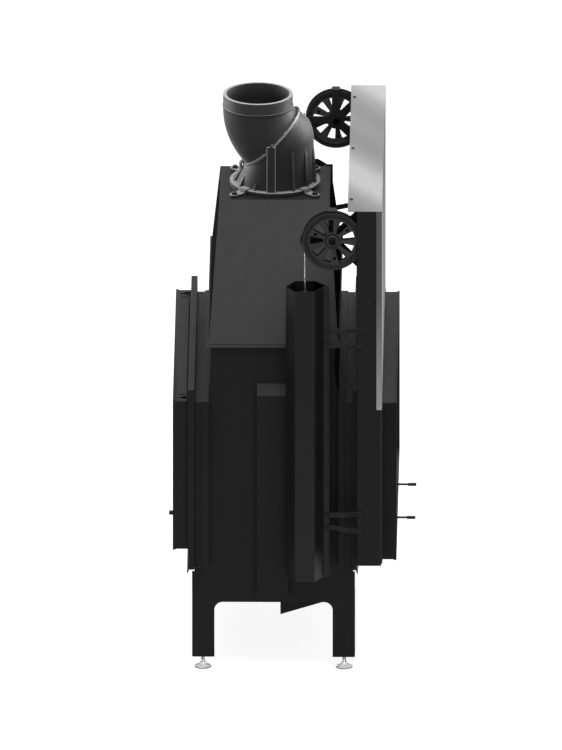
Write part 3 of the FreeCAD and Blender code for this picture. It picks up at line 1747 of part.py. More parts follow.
def fasteners():
    """Screws of the housing and bolts of the flue's lugs."""
    face = -POST_HALF
    mid_post = FRONT_FACE - D.post_depth / 2
    screws = []
    for z in (D.screw_low, D.screw_mid, D.screw_high):
        screws.append(dome_screw("post_screw", (face, mid_post, z), "X", -1))
    for level in (D.arm_upper_z, D.arm_lower_z):
        for side in (1, -1):
            z = level + D.arm_post_spacing / 2 * side
            y = FRONT_FACE - D.arm_reach / 2
            screws.append(dome_screw("bracket_screw", (face - D.arm_sheet, y, z), "X", -1))
    top = D.post_top + D.cover_sheet
    row_y = FRONT_FACE + D.cover_rear_overhang - D.cover_screw_inset
    screws.append(dome_screw("cover_screw", (-D.cover_screw_pitch, row_y, top), "Z", 1))
    middle_screw = dome_screw("cover_screw", (0, row_y, top), "Z", 1)
    both_sides("housing_screws", *screws, middle=[middle_screw])
    lug_bolts = []
    for side_x in (-1, 1):
        for side_y in (-1, 1):
            x = D.lug_reach * COS45 * side_x
            y = MID + D.lug_reach * COS45 * side_y
            seat = D.hood_top + D.lug_thick
            head = doc.addObject("Part::Prism", "lug_bolt_head")
            head.Polygon = 6
            bind(head, Circumradius=D.bolt_head, Height=D.bolt_height)
            put(head, x, y, seat)
            shank = cylinder("lug_bolt_shank", D.lug_bore - D.axle_play, D.lug_thick, (x, y, D.hood_top))
            lug_bolts.append(fuse("lug_bolt", head, shank))
    keep(group("flue_bolts", *lug_bolts), "flue_bolts")


# Assembly
pair(firebox_wall, "firebox_wall")
end_wall("firebox_front_wall", -1, BODY_TOP_FRONT)
end_wall("firebox_rear_wall", 1, BODY_TOP_REAR)
firebox_floor()
end_frame("front_end_frame", -1)
end_frame("rear_end_frame", 1)
face_plate("front_face_plate", -1, D.front_plate_depth)
face_plate("rear_face_plate", 1, D.rear_plate_depth)
smoke_hood()
fire_bed()
air_plenum()
pair(side_duct, "side_duct")
pair(leg_frame, "leg_frame")
for front_rear, side_y in (("front", -1), ("rear", 1)):
    for left_right, side_x in (("left", -1), ("right", 1)):
        foot(f"foot_{front_rear}_{left_right}", side_x, side_y)
pair(guide_post, "guide_post")
door_sill()
top_cover()
surround(
    "rear_surround", 1, REAR_FACE, D.rear_surround_depth, D.rear_surround_bottom, D.rear_surround_top
)
surround(
    "front_surround", -1, POST_FRONT, D.front_surround_depth, D.front_surround_bottom, D.front_surround_top
)
lift_door()
rear_door()
rear_latch()
pair(pulley, "pulley")
pair(pulley_bracket, "pulley_bracket")
pulley_axles()
pair(counterweight_tube, "counterweight_tube")
tube_brackets()
pair(counterweight, "counterweight")
pair(lift_cable, "lift_cable")
pair(air_rod, "air_rod")
flue_base()
flue_elbow()
flue_clamps()
fasteners()
doc.recompute()

# Every object must be sound, and every cut must have removed material
for item in doc.Objects:
    if "Invalid" in item.State or "Error" in item.State:
        raise RuntimeError(f"{item.Label} failed: {item.State}")
    if item.TypeId == "PartDesign::Pocket" and item.Shape.Volume >= item.BaseFeature.Shape.Volume:
        raise RuntimeError(f"{item.Label} cuts nothing")

os.makedirs("parts", exist_ok=True)
for node in nodes:
    if node.Shape.isNull() or not node.Shape.isValid():
        raise RuntimeError(f"{node.Label} has no valid shape")
    node.Shape.exportStep(f"parts/{node.Label}.step")
    print(node.Label, len(node.Shape.Solids), round(node.Shape.Volume))
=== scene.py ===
"""Looks of the fireplace insert: dressed sheet metal, castings, glass, ropes and studio."""
import bmesh
import bpy
import json
import math
from mathutils import Matrix, Vector

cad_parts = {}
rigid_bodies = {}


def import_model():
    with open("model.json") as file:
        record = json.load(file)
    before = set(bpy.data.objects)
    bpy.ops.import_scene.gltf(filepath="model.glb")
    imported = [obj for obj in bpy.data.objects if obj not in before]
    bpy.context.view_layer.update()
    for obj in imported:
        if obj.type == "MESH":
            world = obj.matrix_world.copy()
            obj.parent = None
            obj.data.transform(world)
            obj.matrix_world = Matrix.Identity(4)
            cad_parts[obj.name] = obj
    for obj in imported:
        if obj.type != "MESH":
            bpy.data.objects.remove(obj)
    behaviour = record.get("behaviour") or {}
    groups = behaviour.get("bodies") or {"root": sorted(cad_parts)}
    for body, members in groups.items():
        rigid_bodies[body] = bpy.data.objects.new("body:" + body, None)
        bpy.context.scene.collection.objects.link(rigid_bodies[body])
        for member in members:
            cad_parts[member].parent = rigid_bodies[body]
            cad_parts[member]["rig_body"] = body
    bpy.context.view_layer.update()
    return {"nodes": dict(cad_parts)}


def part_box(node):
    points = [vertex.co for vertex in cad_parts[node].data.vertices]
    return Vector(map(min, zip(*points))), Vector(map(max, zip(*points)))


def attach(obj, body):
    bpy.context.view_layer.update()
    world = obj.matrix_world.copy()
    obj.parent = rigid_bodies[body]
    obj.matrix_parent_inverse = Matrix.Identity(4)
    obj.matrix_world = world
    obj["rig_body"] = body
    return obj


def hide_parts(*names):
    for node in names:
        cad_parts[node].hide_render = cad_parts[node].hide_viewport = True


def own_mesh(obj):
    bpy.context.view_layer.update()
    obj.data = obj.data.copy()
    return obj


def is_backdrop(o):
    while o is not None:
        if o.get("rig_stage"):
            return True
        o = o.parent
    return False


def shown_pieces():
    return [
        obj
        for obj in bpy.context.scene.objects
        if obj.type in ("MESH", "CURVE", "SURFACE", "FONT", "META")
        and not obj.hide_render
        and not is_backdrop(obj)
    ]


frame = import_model()
nodes = frame["nodes"]
SIDES = ("left", "right")


# Shader helpers
BLUE_CAST = 1.01
DRIFT_SPAN = (0.3, 0.7)
BAND_WOBBLE = 0.6
BAND_DETAIL = 2


def grey(value):
    """Grey with a faint blue cast."""
    return (value, value, value * BLUE_CAST)


class Shader:
    """A principled material and short ways to feed its sockets."""

    def __init__(self, name, color, roughness, metallic=0.0, specular=0.5):
        self.material = bpy.data.materials.new(name)
        self.material.use_nodes = True
        self.tree = self.material.node_tree
        self.main = self.tree.nodes["Principled BSDF"]
        self.main.inputs["Base Color"].default_value = (*color, 1)
        self.main.inputs["Roughness"].default_value = roughness
        self.main.inputs["Metallic"].default_value = metallic
        self.main.inputs["Specular IOR Level"].default_value = specular
        self.place = self.tree.nodes.new("ShaderNodeTexCoord").outputs["Object"]

    def add(self, kind, **values):
        node = self.tree.nodes.new(kind)
        for key, value in values.items():
            setattr(node, key, value)
        return node

    def link(self, source, target):
        self.tree.links.new(source, target)

    def stretched(self, scale, turn=(0, 0, 0)):
        mapping = self.add("ShaderNodeMapping")
        mapping.inputs["Scale"].default_value = scale
        mapping.inputs["Rotation"].default_value = turn
        self.link(self.place, mapping.inputs["Vector"])
        return mapping.outputs["Vector"]

    def noise(self, scale, detail, stretch=(1, 1, 1), rough=0.5):
        node = self.add("ShaderNodeTexNoise")
        node.inputs["Scale"].default_value = scale
        node.inputs["Detail"].default_value = detail
        node.inputs["Roughness"].default_value = rough
        self.link(self.stretched(stretch), node.inputs["Vector"])
        return node.outputs["Fac"]

    def waves(self, scale, phase, turn):
        """Soft bands across the turned X direction."""
        node = self.add("ShaderNodeTexWave", wave_type="BANDS", bands_direction="X")
        node.inputs["Scale"].default_value = scale
        node.inputs["Phase Offset"].default_value = phase
        node.inputs["Distortion"].default_value = BAND_WOBBLE
        node.inputs["Detail"].default_value = BAND_DETAIL
        self.link(self.stretched((1, 1, 1), turn), node.inputs["Vector"])
        return node.outputs["Fac"]

    def distance_from(self, centre):
        """Distance from the line along X through a point."""
        mapping = self.add("ShaderNodeMapping")
        mapping.inputs["Location"].default_value = [-value for value in centre]
        mapping.inputs["Scale"].default_value = (0, 1, 1)
        self.link(self.place, mapping.inputs["Vector"])
        node = self.add("ShaderNodeVectorMath", operation="LENGTH")
        self.link(mapping.outputs["Vector"], node.inputs[0])
        return node.outputs["Value"]

    def height(self):
        """Height above the floor."""
        node = self.add("ShaderNodeSeparateXYZ")
        self.link(self.place, node.inputs["Vector"])
        return node.outputs["Z"]

    def ramp(self, source, stops):
        node = self.add("ShaderNodeValToRGB")
        points = node.color_ramp.elements
        while len(points) < len(stops):
            points.new(0.5)
        for point, (place, color) in zip(points, stops):
            point.position = place
            point.color = (*color, 1)
        self.link(source, node.inputs["Fac"])
        return node.outputs["Color"]

    def levels(self, source, low, high, span=DRIFT_SPAN):
        """Stretch a span of the source to a new range."""
        node = self.add("ShaderNodeMapRange")
        node.inputs["From Min"].default_value = span[0]
        node.inputs["From Max"].default_value = span[1]
        node.inputs["To Min"].default_value = low
        node.inputs["To Max"].default_value = high
        self.link(source, node.inputs["Value"])
        return node.outputs["Result"]

    def multiply(self, first, second):
        node = self.add("ShaderNodeMix", data_type="RGBA", blend_type="MULTIPLY")
        node.inputs["Factor"].default_value = 1.0
        colors = [socket for socket in node.inputs if socket.type == "RGBA"]
        self.link(first, colors[0])
        self.link(second, colors[1])
        return [socket for socket in node.outputs if socket.type == "RGBA"][0]

    def between(self, low, high, source, span=DRIFT_SPAN):
        """Colour that drifts from one tone to another over a span of the source."""
        return self.ramp(source, [(span[0], low), (span[1], high)])

    def clouds(self, tone, spread, scale, detail, span=DRIFT_SPAN):
        """Grey that drifts by a share to either side of a tone."""
        low, high = grey(tone * (1 - spread)), grey(tone * (1 + spread))
        return self.between(low, high, self.noise(scale, detail), span)

    def color(self, source):
        self.link(source, self.main.inputs["Base Color"])

    def roughness(self, source):
        self.link(source, self.main.inputs["Roughness"])

    def wear(self, low, high, scale, detail):
        """Roughness that drifts between two values."""
        self.roughness(self.levels(self.noise(scale, detail), low, high))

    def bump(self, source, distance, strength):
        """Relief on top of any that the material has already."""
        node = self.add("ShaderNodeBump")
        node.inputs["Distance"].default_value = distance
        node.inputs["Strength"].default_value = strength
        self.link(source, node.inputs["Height"])
        if self.main.inputs["Normal"].is_linked:
            before = self.main.inputs["Normal"].links[0].from_socket
            self.link(before, node.inputs["Normal"])
        self.link(node.outputs["Normal"], self.main.inputs["Normal"])

    def grain(self, scale, detail, distance, strength):
        """Uneven relief."""
        self.bump(self.noise(scale, detail), distance, strength)


# Materials
def stove_paint(name, tone, rough, gloss=0.25):
    """Matt black stove paint: fine grain, faint patches from spraying."""
    shader = Shader(name, grey(tone), rough, specular=gloss)
    shader.color(shader.clouds(tone, spread=0.07, scale=6, detail=3))
    shader.wear(rough - 0.03, rough + 0.03, scale=45, detail=4)
    shader.grain(scale=1500, detail=2, distance=0.0001, strength=0.25)
    return shader.material


SHEEN_ROUGHNESS = 0.25


def cast_paint(name, tone, rough, sheen):
    """Painted sand casting: rough skin, soft dapple and a dusty sheen at the sides."""
    shader = Shader(name, grey(tone), rough)
    shader.main.inputs["Sheen Weight"].default_value = sheen
    shader.main.inputs["Sheen Roughness"].default_value = SHEEN_ROUGHNESS
    shader.color(shader.clouds(tone, spread=0.12, scale=22, detail=4))
    shader.wear(rough - 0.05, rough + 0.05, scale=120, detail=3)
    shader.grain(scale=700, detail=3, distance=0.0003, strength=0.35)
    shader.grain(scale=90, detail=2, distance=0.0005, strength=0.15)
    return shader.material


WHEEL_AXIS = (0, -0.117, 1.327)
WHEEL_REACH = 0.09
PAINTED_SHADE_RING = grey(0.2)
FACE = grey(1.0)
OUTER_BAND = grey(0.6)
# Dark rings at the hub steps and inside the rim are painted shade; the outer band is a darker tone.
WHEEL_SHADE_RINGS = [
    (0.09, PAINTED_SHADE_RING), (0.125, FACE), (0.195, FACE), (0.205, PAINTED_SHADE_RING), (0.235, PAINTED_SHADE_RING), (0.25, FACE),
    (0.82, FACE), (0.845, PAINTED_SHADE_RING), (0.875, PAINTED_SHADE_RING), (0.9, OUTER_BAND),
]


def wheel_paint(name, tone, gloss):
    """Smooth dark enamel on the pulley wheels, with rings of painted shade round the axle."""
    shader = Shader(name, grey(tone), roughness=0.42, specular=gloss)
    cloud = shader.clouds(tone, spread=0.1, scale=60, detail=3, span=(0.35, 0.65))
    reach = shader.levels(shader.distance_from(WHEEL_AXIS), 0, 1, (0, WHEEL_REACH))
    shader.color(shader.multiply(cloud, shader.ramp(reach, WHEEL_SHADE_RINGS)))
    shader.wear(0.38, 0.48, scale=150, detail=3)
    shader.grain(scale=900, detail=2, distance=0.00015, strength=0.25)
    return shader.material


COVER_ROUGHNESS = 0.34
SCRATCHES_ALONG_X = (0.35, 8, 8)
SCRATCHES_ALONG_Z = (8, 8, 0.35)
REFLECTION_BAND_SLANT = (0, 0, math.radians(60))
REFLECTION_BAND_SPAN = (0.1, 0.9)
RETURN_SHADE_HEIGHTS = (0.76, 1.16)


def scratched(shader, stretch):
    """Fine scratches along one direction, felt in the roughness, and the tone that they give."""
    scratches = shader.noise(scale=60, detail=5, stretch=stretch, rough=0.7)
    shader.roughness(shader.levels(scratches, 0.28, 0.42))
    return scratches, shader.between(grey(0.85), grey(0.99), scratches)


def brushed_cover():
    """Brushed steel sheet: fine scratches along the sheet over broad and narrow soft bands of painted
    reflection.
    """
    shader = Shader("brushed_cover", (0.6, 0.6, 0.59), COVER_ROUGHNESS, metallic=1.0)
    scratches, fine = scratched(shader, SCRATCHES_ALONG_X)
    # Slanted light and dark bands in the colour: painted reflection.
    broad_reflection_bands = shader.waves(scale=0.714, phase=2.55, turn=REFLECTION_BAND_SLANT)
    narrow_reflection_bands = shader.waves(scale=1.428, phase=1.96, turn=REFLECTION_BAND_SLANT)
    broad = shader.between((0.52, 0.52, 0.515), (0.99, 0.99, 0.98), broad_reflection_bands, REFLECTION_BAND_SPAN)
    narrow = shader.between(grey(0.74), grey(0.99), narrow_reflection_bands, REFLECTION_BAND_SPAN)
    shader.color(shader.multiply(shader.multiply(broad, narrow), fine))
    shader.bump(scratches, distance=0.00003, strength=0.3)
    return shader.material


def cover_return():
    """Narrow sides of the cover: brushed, and darker towards the top, a painted dark reflection."""
    shader = Shader("cover_return", grey(0.6), COVER_ROUGHNESS, metallic=1.0)
    fine = scratched(shader, SCRATCHES_ALONG_Z)[1]
    rise = shader.levels(shader.height(), 0, 1, RETURN_SHADE_HEIGHTS)
    broad = shader.ramp(rise, [(0.0, grey(0.72)), (0.6, grey(0.45)), (1.0, grey(0.25))])
    shader.color(shader.multiply(broad, fine))
    return shader.material


def bright_plating():
    """Bright plated feet with faint polishing haze."""
    shader = Shader("bright_plating", (0.93, 0.93, 0.94), roughness=0.18, metallic=0.55)
    shader.color(shader.between(grey(0.9), grey(0.96), shader.noise(scale=130, detail=3)))
    shader.wear(0.14, 0.22, scale=160, detail=3)
    shader.grain(scale=400, detail=2, distance=0.00002, strength=0.1)
    return shader.material


def plain_steel(name, tone):
    """Drawn steel of rods, ropes and pins."""
    shader = Shader(name, grey(tone), roughness=0.35, metallic=1.0)
    shader.color(shader.clouds(tone, spread=0.14, scale=140, detail=3))
    shader.wear(0.28, 0.44, scale=300, detail=3)
    shader.grain(scale=1200, detail=2, distance=0.00005, strength=0.3)
    return shader.material


def black_screw(name, tone):
    """Blackened screws and bolts."""
    shader = Shader(name, grey(tone), roughness=0.38, metallic=0.6, specular=0.4)
    shader.color(shader.clouds(tone, spread=0.3, scale=300, detail=3))
    shader.wear(0.32, 0.45, scale=500, detail=3)
    shader.grain(scale=1500, detail=2, distance=0.00006, strength=0.3)
    return shader.material


GLASS_IOR = 1.5
GLASS_CLEARNESS = 0.9


def fire_glass():
    """Dark ceramic glass with a faint film of soot."""
    shader = Shader("fire_glass", (0.3, 0.28, 0.25), roughness=0.06)
    shader.main.inputs["Transmission Weight"].default_value = GLASS_CLEARNESS
    shader.main.inputs["IOR"].default_value = GLASS_IOR
    film = shader.noise(scale=5, detail=4)
    shader.color(shader.between((0.36, 0.33, 0.29), (0.2, 0.18, 0.155), film, (0.35, 0.75)))
    shader.wear(0.04, 0.12, scale=12, detail=4)
    return shader.material


def rope_fibre():
    """Graphite rope seal."""
    shader = Shader("rope_fibre", grey(0.05), roughness=0.9, specular=0.2)
    shader.color(shader.between(grey(0.035), grey(0.075), shader.noise(scale=900, detail=3)))
    shader.grain(scale=2200, detail=2, distance=0.0002, strength=0.6)
    return shader.material


FLAKE_SCALE = 420


def mineral_board():
    """Pressed vermiculite board: golden flakes, light soot."""
    shader = Shader("mineral_board", (0.45, 0.37, 0.26), roughness=0.85, specular=0.25)
    flakes = shader.add("ShaderNodeTexVoronoi")
    flakes.inputs["Scale"].default_value = FLAKE_SCALE
    shader.link(shader.place, flakes.inputs["Vector"])
    tint = shader.ramp(
        flakes.outputs["Color"],
        [(0.2, (0.3, 0.23, 0.15)), (0.5, (0.46, 0.38, 0.27)), (0.8, (0.58, 0.49, 0.35))],
    )
    drift = shader.noise(scale=6, detail=5)
    soot = shader.between((0.5, 0.48, 0.46), (0.9, 0.9, 0.9), drift, (0.35, 0.65))
    shader.color(shader.multiply(tint, soot))
    shader.bump(flakes.outputs["Distance"], distance=0.0006, strength=0.5)
    return shader.material


def slide_polymer():
    """Moulded guide blocks."""
    shader = Shader("slide_polymer", (0.02, 0.02, 0.022), roughness=0.45)
    shader.wear(0.38, 0.55, scale=200, detail=3)
    shader.grain(scale=900, detail=2, distance=0.0001, strength=0.3)
    return shader.material


PAINT = stove_paint("stove_paint", tone=0.0145, rough=0.5)
# Lighter tone for the rounded edges of the sheet metal: partly wear, partly a painted highlight where
# light catches the edges.
PAINT_EDGE_WEAR_AND_HIGHLIGHT = stove_paint("stove_paint_edge", tone=0.022, rough=0.42)
# Lighter paint for the sloped part of the bracket arms: painted light, for the light falling on the
# slope.
ARM_SLOPE_PAINTED_LIGHT = stove_paint("arm_paint", tone=0.026, rough=0.45)
RIM_PAINT = stove_paint("rim_paint", tone=0.085, rough=0.45)
SLOPE_PAINT = stove_paint("slope_paint", tone=0.015, rough=0.9, gloss=0.0)
TUBE_PAINT = stove_paint("tube_paint", tone=0.0115, rough=0.32, gloss=0.38)
CAST = cast_paint("cast_paint", tone=0.013, rough=0.58, sheen=0.38)
# Lighter cast tone for the flue's edges, upward faces and joint rim: a painted highlight.
CAST_HIGHLIGHT = cast_paint("cast_paint_edge", tone=0.2, rough=0.45, sheen=0.5)
WHEEL = wheel_paint("wheel_paint", tone=0.044, gloss=0.4)
# Darker tones for the wheel's sloped dish and for its walls and dimples: painted shade.
WHEEL_DISH_SHADE = wheel_paint("wheel_dish_paint", tone=0.022, gloss=0.1)
WHEEL_WALL_SHADE = wheel_paint("wheel_wall_paint", tone=0.007, gloss=0.02)
COVER = brushed_cover()
RETURN_PAINTED_REFLECTION = cover_return()
BRIGHT = bright_plating()
STEEL = plain_steel("plain_steel", tone=0.42)
DARK_STEEL = plain_steel("dark_steel", tone=0.06)
AXLE_STEEL = plain_steel("axle_steel", tone=0.018)
ROPE_WIRE = plain_steel("rope_wire", tone=0.85)
SCREW = black_screw("black_screw", tone=0.03)
SCREW_HEAD = black_screw("screw_head", tone=0.05)
# Near black inside the screw sockets: painted shade.
SCREW_SOCKET_SHADE = black_screw("screw_socket", tone=0.003)
GLASS = fire_glass()
ROPE = rope_fibre()
BOARD = mineral_board()
POLYMER = slide_polymer()


# Dressing of the solids
SMOOTH_ANGLE = 35
SHARP_ANGLE = 28
FLAT_ANGLE = 0.4
CURVED_FLAT_ANGLE = 0.02
WELD_REACH = 2e-6
EDGE_SEGMENTS = 2
SHEET_EDGE = 0.0008
FLAT_WEIGHT = 100


def finish_mesh(mesh, materials, smooth_angle=SMOOTH_ANGLE):
    """Smooth shading with sharp edges kept, and the mesh's materials."""
    for material in materials:
        mesh.materials.append(material)
    bm = bmesh.new()
    bm.from_mesh(mesh)
    limit = math.radians(smooth_angle)
    for edge in bm.edges:
        edge.smooth = len(edge.link_faces) == 2 and edge.calc_face_angle(0) < limit
    for face in bm.faces:
        face.smooth = True
    bm.to_mesh(mesh)
    bm.free()
    return mesh


def new_piece(name, mesh, body, slot, *replaced):
    """Put a finished mesh on a body, in place of CAD nodes where it stands for them."""
    piece = bpy.data.objects.new(name, mesh)
    bpy.context.scene.collection.objects.link(piece)
    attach(piece, body)
    if replaced:
        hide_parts(*replaced)
    return piece


def welded_copy(node, flat=FLAT_ANGLE):
    """The node's faces with shared corners, and with facets joined that are flat within an angle."""
    bm = bmesh.new()
    bm.from_mesh(nodes[node].data)
    bmesh.ops.remove_doubles(bm, verts=bm.verts, dist=WELD_REACH)
    bmesh.ops.dissolve_limit(
        bm, angle_limit=math.radians(flat), verts=bm.verts, edges=bm.edges, use_dissolve_boundaries=False
    )
    return bm


def dress(node, slot, materials, width=SHEET_EDGE, curved=False, prepare=None):
    """Stand in for a node with the same shape, its sharp edges rounded and in the last material."""
    bm = welded_copy(node, CURVED_FLAT_ANGLE if curved else FLAT_ANGLE)
    if prepare:
        prepare(bm)
    limit = math.radians(SHARP_ANGLE)
    edges = [e for e in bm.edges if len(e.link_faces) == 2 and e.calc_face_angle(0) > limit]
    bmesh.ops.bevel(
        bm, geom=edges, offset=width, offset_type="OFFSET", segments=EDGE_SEGMENTS, profile=0.5,
        affect="EDGES", clamp_overlap=True, loop_slide=True, material=len(materials) - 1,
    )
    mesh = bpy.data.meshes.new(f"{node}_dressed")
    bm.to_mesh(mesh)
    bm.free()
    finish_mesh(mesh, materials)
    piece = new_piece(f"{node}_dressed", mesh, nodes[node]["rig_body"], slot, node)
    if not curved:
        flat = piece.modifiers.new("flat_faces", "WEIGHTED_NORMAL")
        flat.keep_sharp = True
        flat.weight = FLAT_WEIGHT
    return piece


def islands(node):
    """Lowest and highest corners of each solid in a node."""
    bm = welded_copy(node)
    waiting = set(bm.verts)
    boxes = []
    while waiting:
        front = [waiting.pop()]
        found = list(front)
        while front:
            vert = front.pop()
            for edge in vert.link_edges:
                other = edge.other_vert(vert)
                if other in waiting:
                    waiting.remove(other)
                    front.append(other)
                    found.append(other)
        low = Vector([min(v.co[axis] for v in found) for axis in range(3)])
        high = Vector([max(v.co[axis] for v in found) for axis in range(3)])
        boxes.append((low, high))
    bm.free()
    return boxes


def corners_of(node):
    """Lowest and highest corner of a node."""
    return tuple(Vector(corner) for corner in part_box(node))


def centre_of(node):
    low, high = corners_of(node)
    return (low + high) / 2


# Turned and swept pieces
SCREW_TURNS = 24
SCREW_DOME = ((0, 0), (0.96, 0), (1, 0.12), (1, 0.3), (0.9, 0.68), (0.72, 0.92), (0.52, 1))
SOCKET_MOUTH = 0.46
SOCKET_FLOOR = 0.43
SOCKET_EDGE_LEVEL = 0.35
SOCKET_MIDDLE_LEVEL = 0.3
HEX_TURNS = 36
HEX_STEPS = ((0.98, 0.0), (1.06, 0.12), (1.2, 0.2), (1.2, 0.8), (1.06, 0.88), (0.98, 1.0))
WASHER_PROFILE = ((0, 0), (0.96, 0), (1, 0.3), (1, 0.75), (0.96, 1), (0, 1))
THREAD_TURNS = 20
THREAD_ROWS = 4
STRAND_LAY = 0.58
STRAND_WIDTH = 1.25


def bridge(bm, rings, turns):
    """Skin neighbouring rings of points; a ring of one point is a pole."""
    for low, high in zip(rings, rings[1:]):
        for step in range(turns):
            after = (step + 1) % turns
            if len(low) == 1:
                bm.faces.new((low[0], high[after], high[step]))
            elif len(high) == 1:
                bm.faces.new((low[step], low[after], high[0]))
            else:
                bm.faces.new((low[step], low[after], high[after], high[step]))


def around(bm, reach, height, turns, place):
    """Ring of points; reach gives the distance from the axis at an angle."""
    ring = []
    for step in range(turns):
        angle = 2 * math.pi * step / turns
        distance = reach(angle)
        point = Vector((distance * math.cos(angle), distance * math.sin(angle), height))
        ring.append(bm.verts.new(place @ point))
    return ring


def pole(bm, height, place):
    return [bm.verts.new(place @ Vector((0, 0, height)))]


def spin(bm, profile, turns, place):
    """Lathe a profile of (radius, height) about local Z."""
    rings = []
    for radius, height in profile:
        if radius == 0:
            rings.append(pole(bm, height, place))
        else:
            rings.append(around(bm, lambda angle, r=radius: r, height, turns, place))
    bridge(bm, rings, turns)
    return rings


def hexagon(corner):
    """Distance from a hexagon's middle to its edge at an angle."""
    sector = math.pi / 3
    return lambda angle: corner * math.cos(sector / 2) / math.cos(angle % sector - sector / 2)


def socket_screw(bm, place, radius, height):
    """Domed head with a hexagon socket in the second material, a near black that paints the shade inside
    the socket.
    """
    rings = spin(bm, [(radius * out, height * up) for out, up in SCREW_DOME], SCREW_TURNS, place)
    mouth = hexagon(radius * SOCKET_MOUTH)
    floor = hexagon(radius * SOCKET_FLOOR)
    inside = [
        rings[-1],
        around(bm, mouth, height, SCREW_TURNS, place),
        around(bm, floor, height * SOCKET_EDGE_LEVEL, SCREW_TURNS, place),
        pole(bm, height * SOCKET_MIDDLE_LEVEL, place),
    ]
    outside = set(bm.faces)
    bridge(bm, inside, SCREW_TURNS)
    for face in set(bm.faces) - outside:
        face.material_index = 1


def hex_head(bm, place, corner, height, start=0.0, hole=0.0):
    """Hexagon head or nut with chamfered ends; a nut has a hole."""
    flat = corner * math.cos(math.pi / 6)
    edge = hexagon(corner)

    def chamfered(share):
        return lambda angle: min(edge(angle), flat * share)

    def middle(level):
        if hole:
            return around(bm, lambda angle: hole, level, HEX_TURNS, place)
        return pole(bm, level, place)

    rings = [middle(start)]
    for share, level in HEX_STEPS:
        rings.append(around(bm, chamfered(share), start + height * level, HEX_TURNS, place))
    rings.append(middle(start + height))
    if hole:
        rings.append(rings[0])
    bridge(bm, rings, HEX_TURNS)


def washer(bm, place, radius, thick):
    spin(bm, [(radius * out, thick * up) for out, up in WASHER_PROFILE], HEX_TURNS, place)


def threaded(bm, place, radius, depth, pitch, low, high):
    """Screw thread between two heights, closed at both ends."""
    count = int((high - low) / pitch * THREAD_ROWS)
    rings = [pole(bm, low, place)]
    for row in range(count + 1):
        height = low + (high - low) * row / count

        def crest(angle, height=height):
            phase = (height / pitch - angle / (2 * math.pi)) % 1
            return radius - depth * abs(2 * phase - 1)

        rings.append(around(bm, crest, height, THREAD_TURNS, place))
    rings.append(pole(bm, high, place))
    bridge(bm, rings, THREAD_TURNS)


def mesh_from(bm, name, materials, smooth_angle=SMOOTH_ANGLE):
    """Finished mesh from loose faces, turned outward."""
    bmesh.ops.recalc_face_normals(bm, faces=bm.faces)
    mesh = bpy.data.meshes.new(name)
    bm.to_mesh(mesh)
    bm.free()
    return finish_mesh(mesh, materials, smooth_angle)


def standing(place, direction):
    """Matrix that stands local Z along a direction at a place."""
    turn = Vector(direction).to_track_quat("Z", "Y").to_matrix().to_4x4()
    return Matrix.Translation(Vector(place)) @ turn


def frames_along(points, closed):
    """Place and two side directions at each point of a path, without twist."""
    count = len(points)
    result = []
    side = None
    for index, point in enumerate(points):
        before = points[index - 1] if index or closed else point
        after = points[(index + 1) % count] if index + 1 < count or closed else point
        ahead = (after - before).normalized()
        if side is None:
            side = ahead.orthogonal().normalized()
        side = (side - ahead * side.dot(ahead)).normalized()
        result.append((point, side, ahead.cross(side)))
    return result


def stranded(bm, points, radius, strands, pitch, sides, closed=False):
    """Twisted strands laid round a path."""
    frames = frames_along(points, closed)
    lay = radius * STRAND_LAY
    thick = radius - lay
    travelled = [0.0]
    for first, second in zip(points, points[1:]):
        travelled.append(travelled[-1] + (second - first).length)
    if closed:
        total = travelled[-1] + (points[0] - points[-1]).length
        pitch = total / round(total / pitch)
    for strand in range(strands):
        rings = []
        for (point, side, across), length in zip(frames, travelled):
            angle = 2 * math.pi * (length / pitch + strand / strands)
            out = side * math.cos(angle) + across * math.sin(angle)
            along = across * math.cos(angle) - side * math.sin(angle)
            ring = []
            for step in range(sides):
                turn = 2 * math.pi * step / sides
                lift = lay + thick * math.cos(turn)
                sway = thick * STRAND_WIDTH * math.sin(turn)
                offset = out * lift + along * sway
                ring.append(bm.verts.new(point + offset))
            rings.append(ring)
        if closed:
            rings.append(rings[0])
        bridge(bm, rings, sides)
        if not closed:
            bm.faces.new(list(reversed(rings[0])))
            bm.faces.new(rings[-1])


# Sheet metal, castings and boards
TUBE_EDGE = 0.0018
CAST_EDGE_WIDTH = 0.0012
COVER_EDGE = 0.0009
ROD_EDGE = 0.0006
BLOCK_EDGE = 0.0015
SIDEWAYS = 0.9
ARM_SLOPE = (-0.158, -0.108)
# The rounded edges of the sheet metal take the lighter edge tone: partly wear, partly painted highlight.
for node in (
    "firebox_wall_left", "firebox_wall_right", "firebox_front_wall", "firebox_rear_wall", "firebox_floor",
    "front_end_frame", "rear_end_frame", "front_face_plate", "rear_face_plate",
    "hearth_carrier", "air_plenum", "side_duct_left", "side_duct_right", "leg_frame_left",
    "leg_frame_right", "guide_post_left", "guide_post_right", "door_sill", "rear_surround",
    "front_surround", "lift_door_frame", "door_carriers", "rear_door_frame", "rear_latch",
    "pulley_bracket_left", "pulley_bracket_right",
):
    dress(node, "black_steel", (PAINT, PAINT_EDGE_WEAR_AND_HIGHLIGHT))
for node in ("counterweight_tube_left", "counterweight_tube_right"):
    dress(node, "black_steel", (TUBE_PAINT, PAINT_EDGE_WEAR_AND_HIGHLIGHT), TUBE_EDGE)
arms = dress("tube_brackets", "black_steel", (PAINT, ARM_SLOPE_PAINTED_LIGHT))
# The sloped part of the arms is painted lighter: painted light.
for face in arms.data.polygons:
    if ARM_SLOPE[0] < face.center.y < ARM_SLOPE[1]:
        face.material_index = 1
for node in ("log_guards", "counterweight_left", "counterweight_right"):
    dress(node, "cast_black", (CAST,), CAST_EDGE_WIDTH, curved=True)
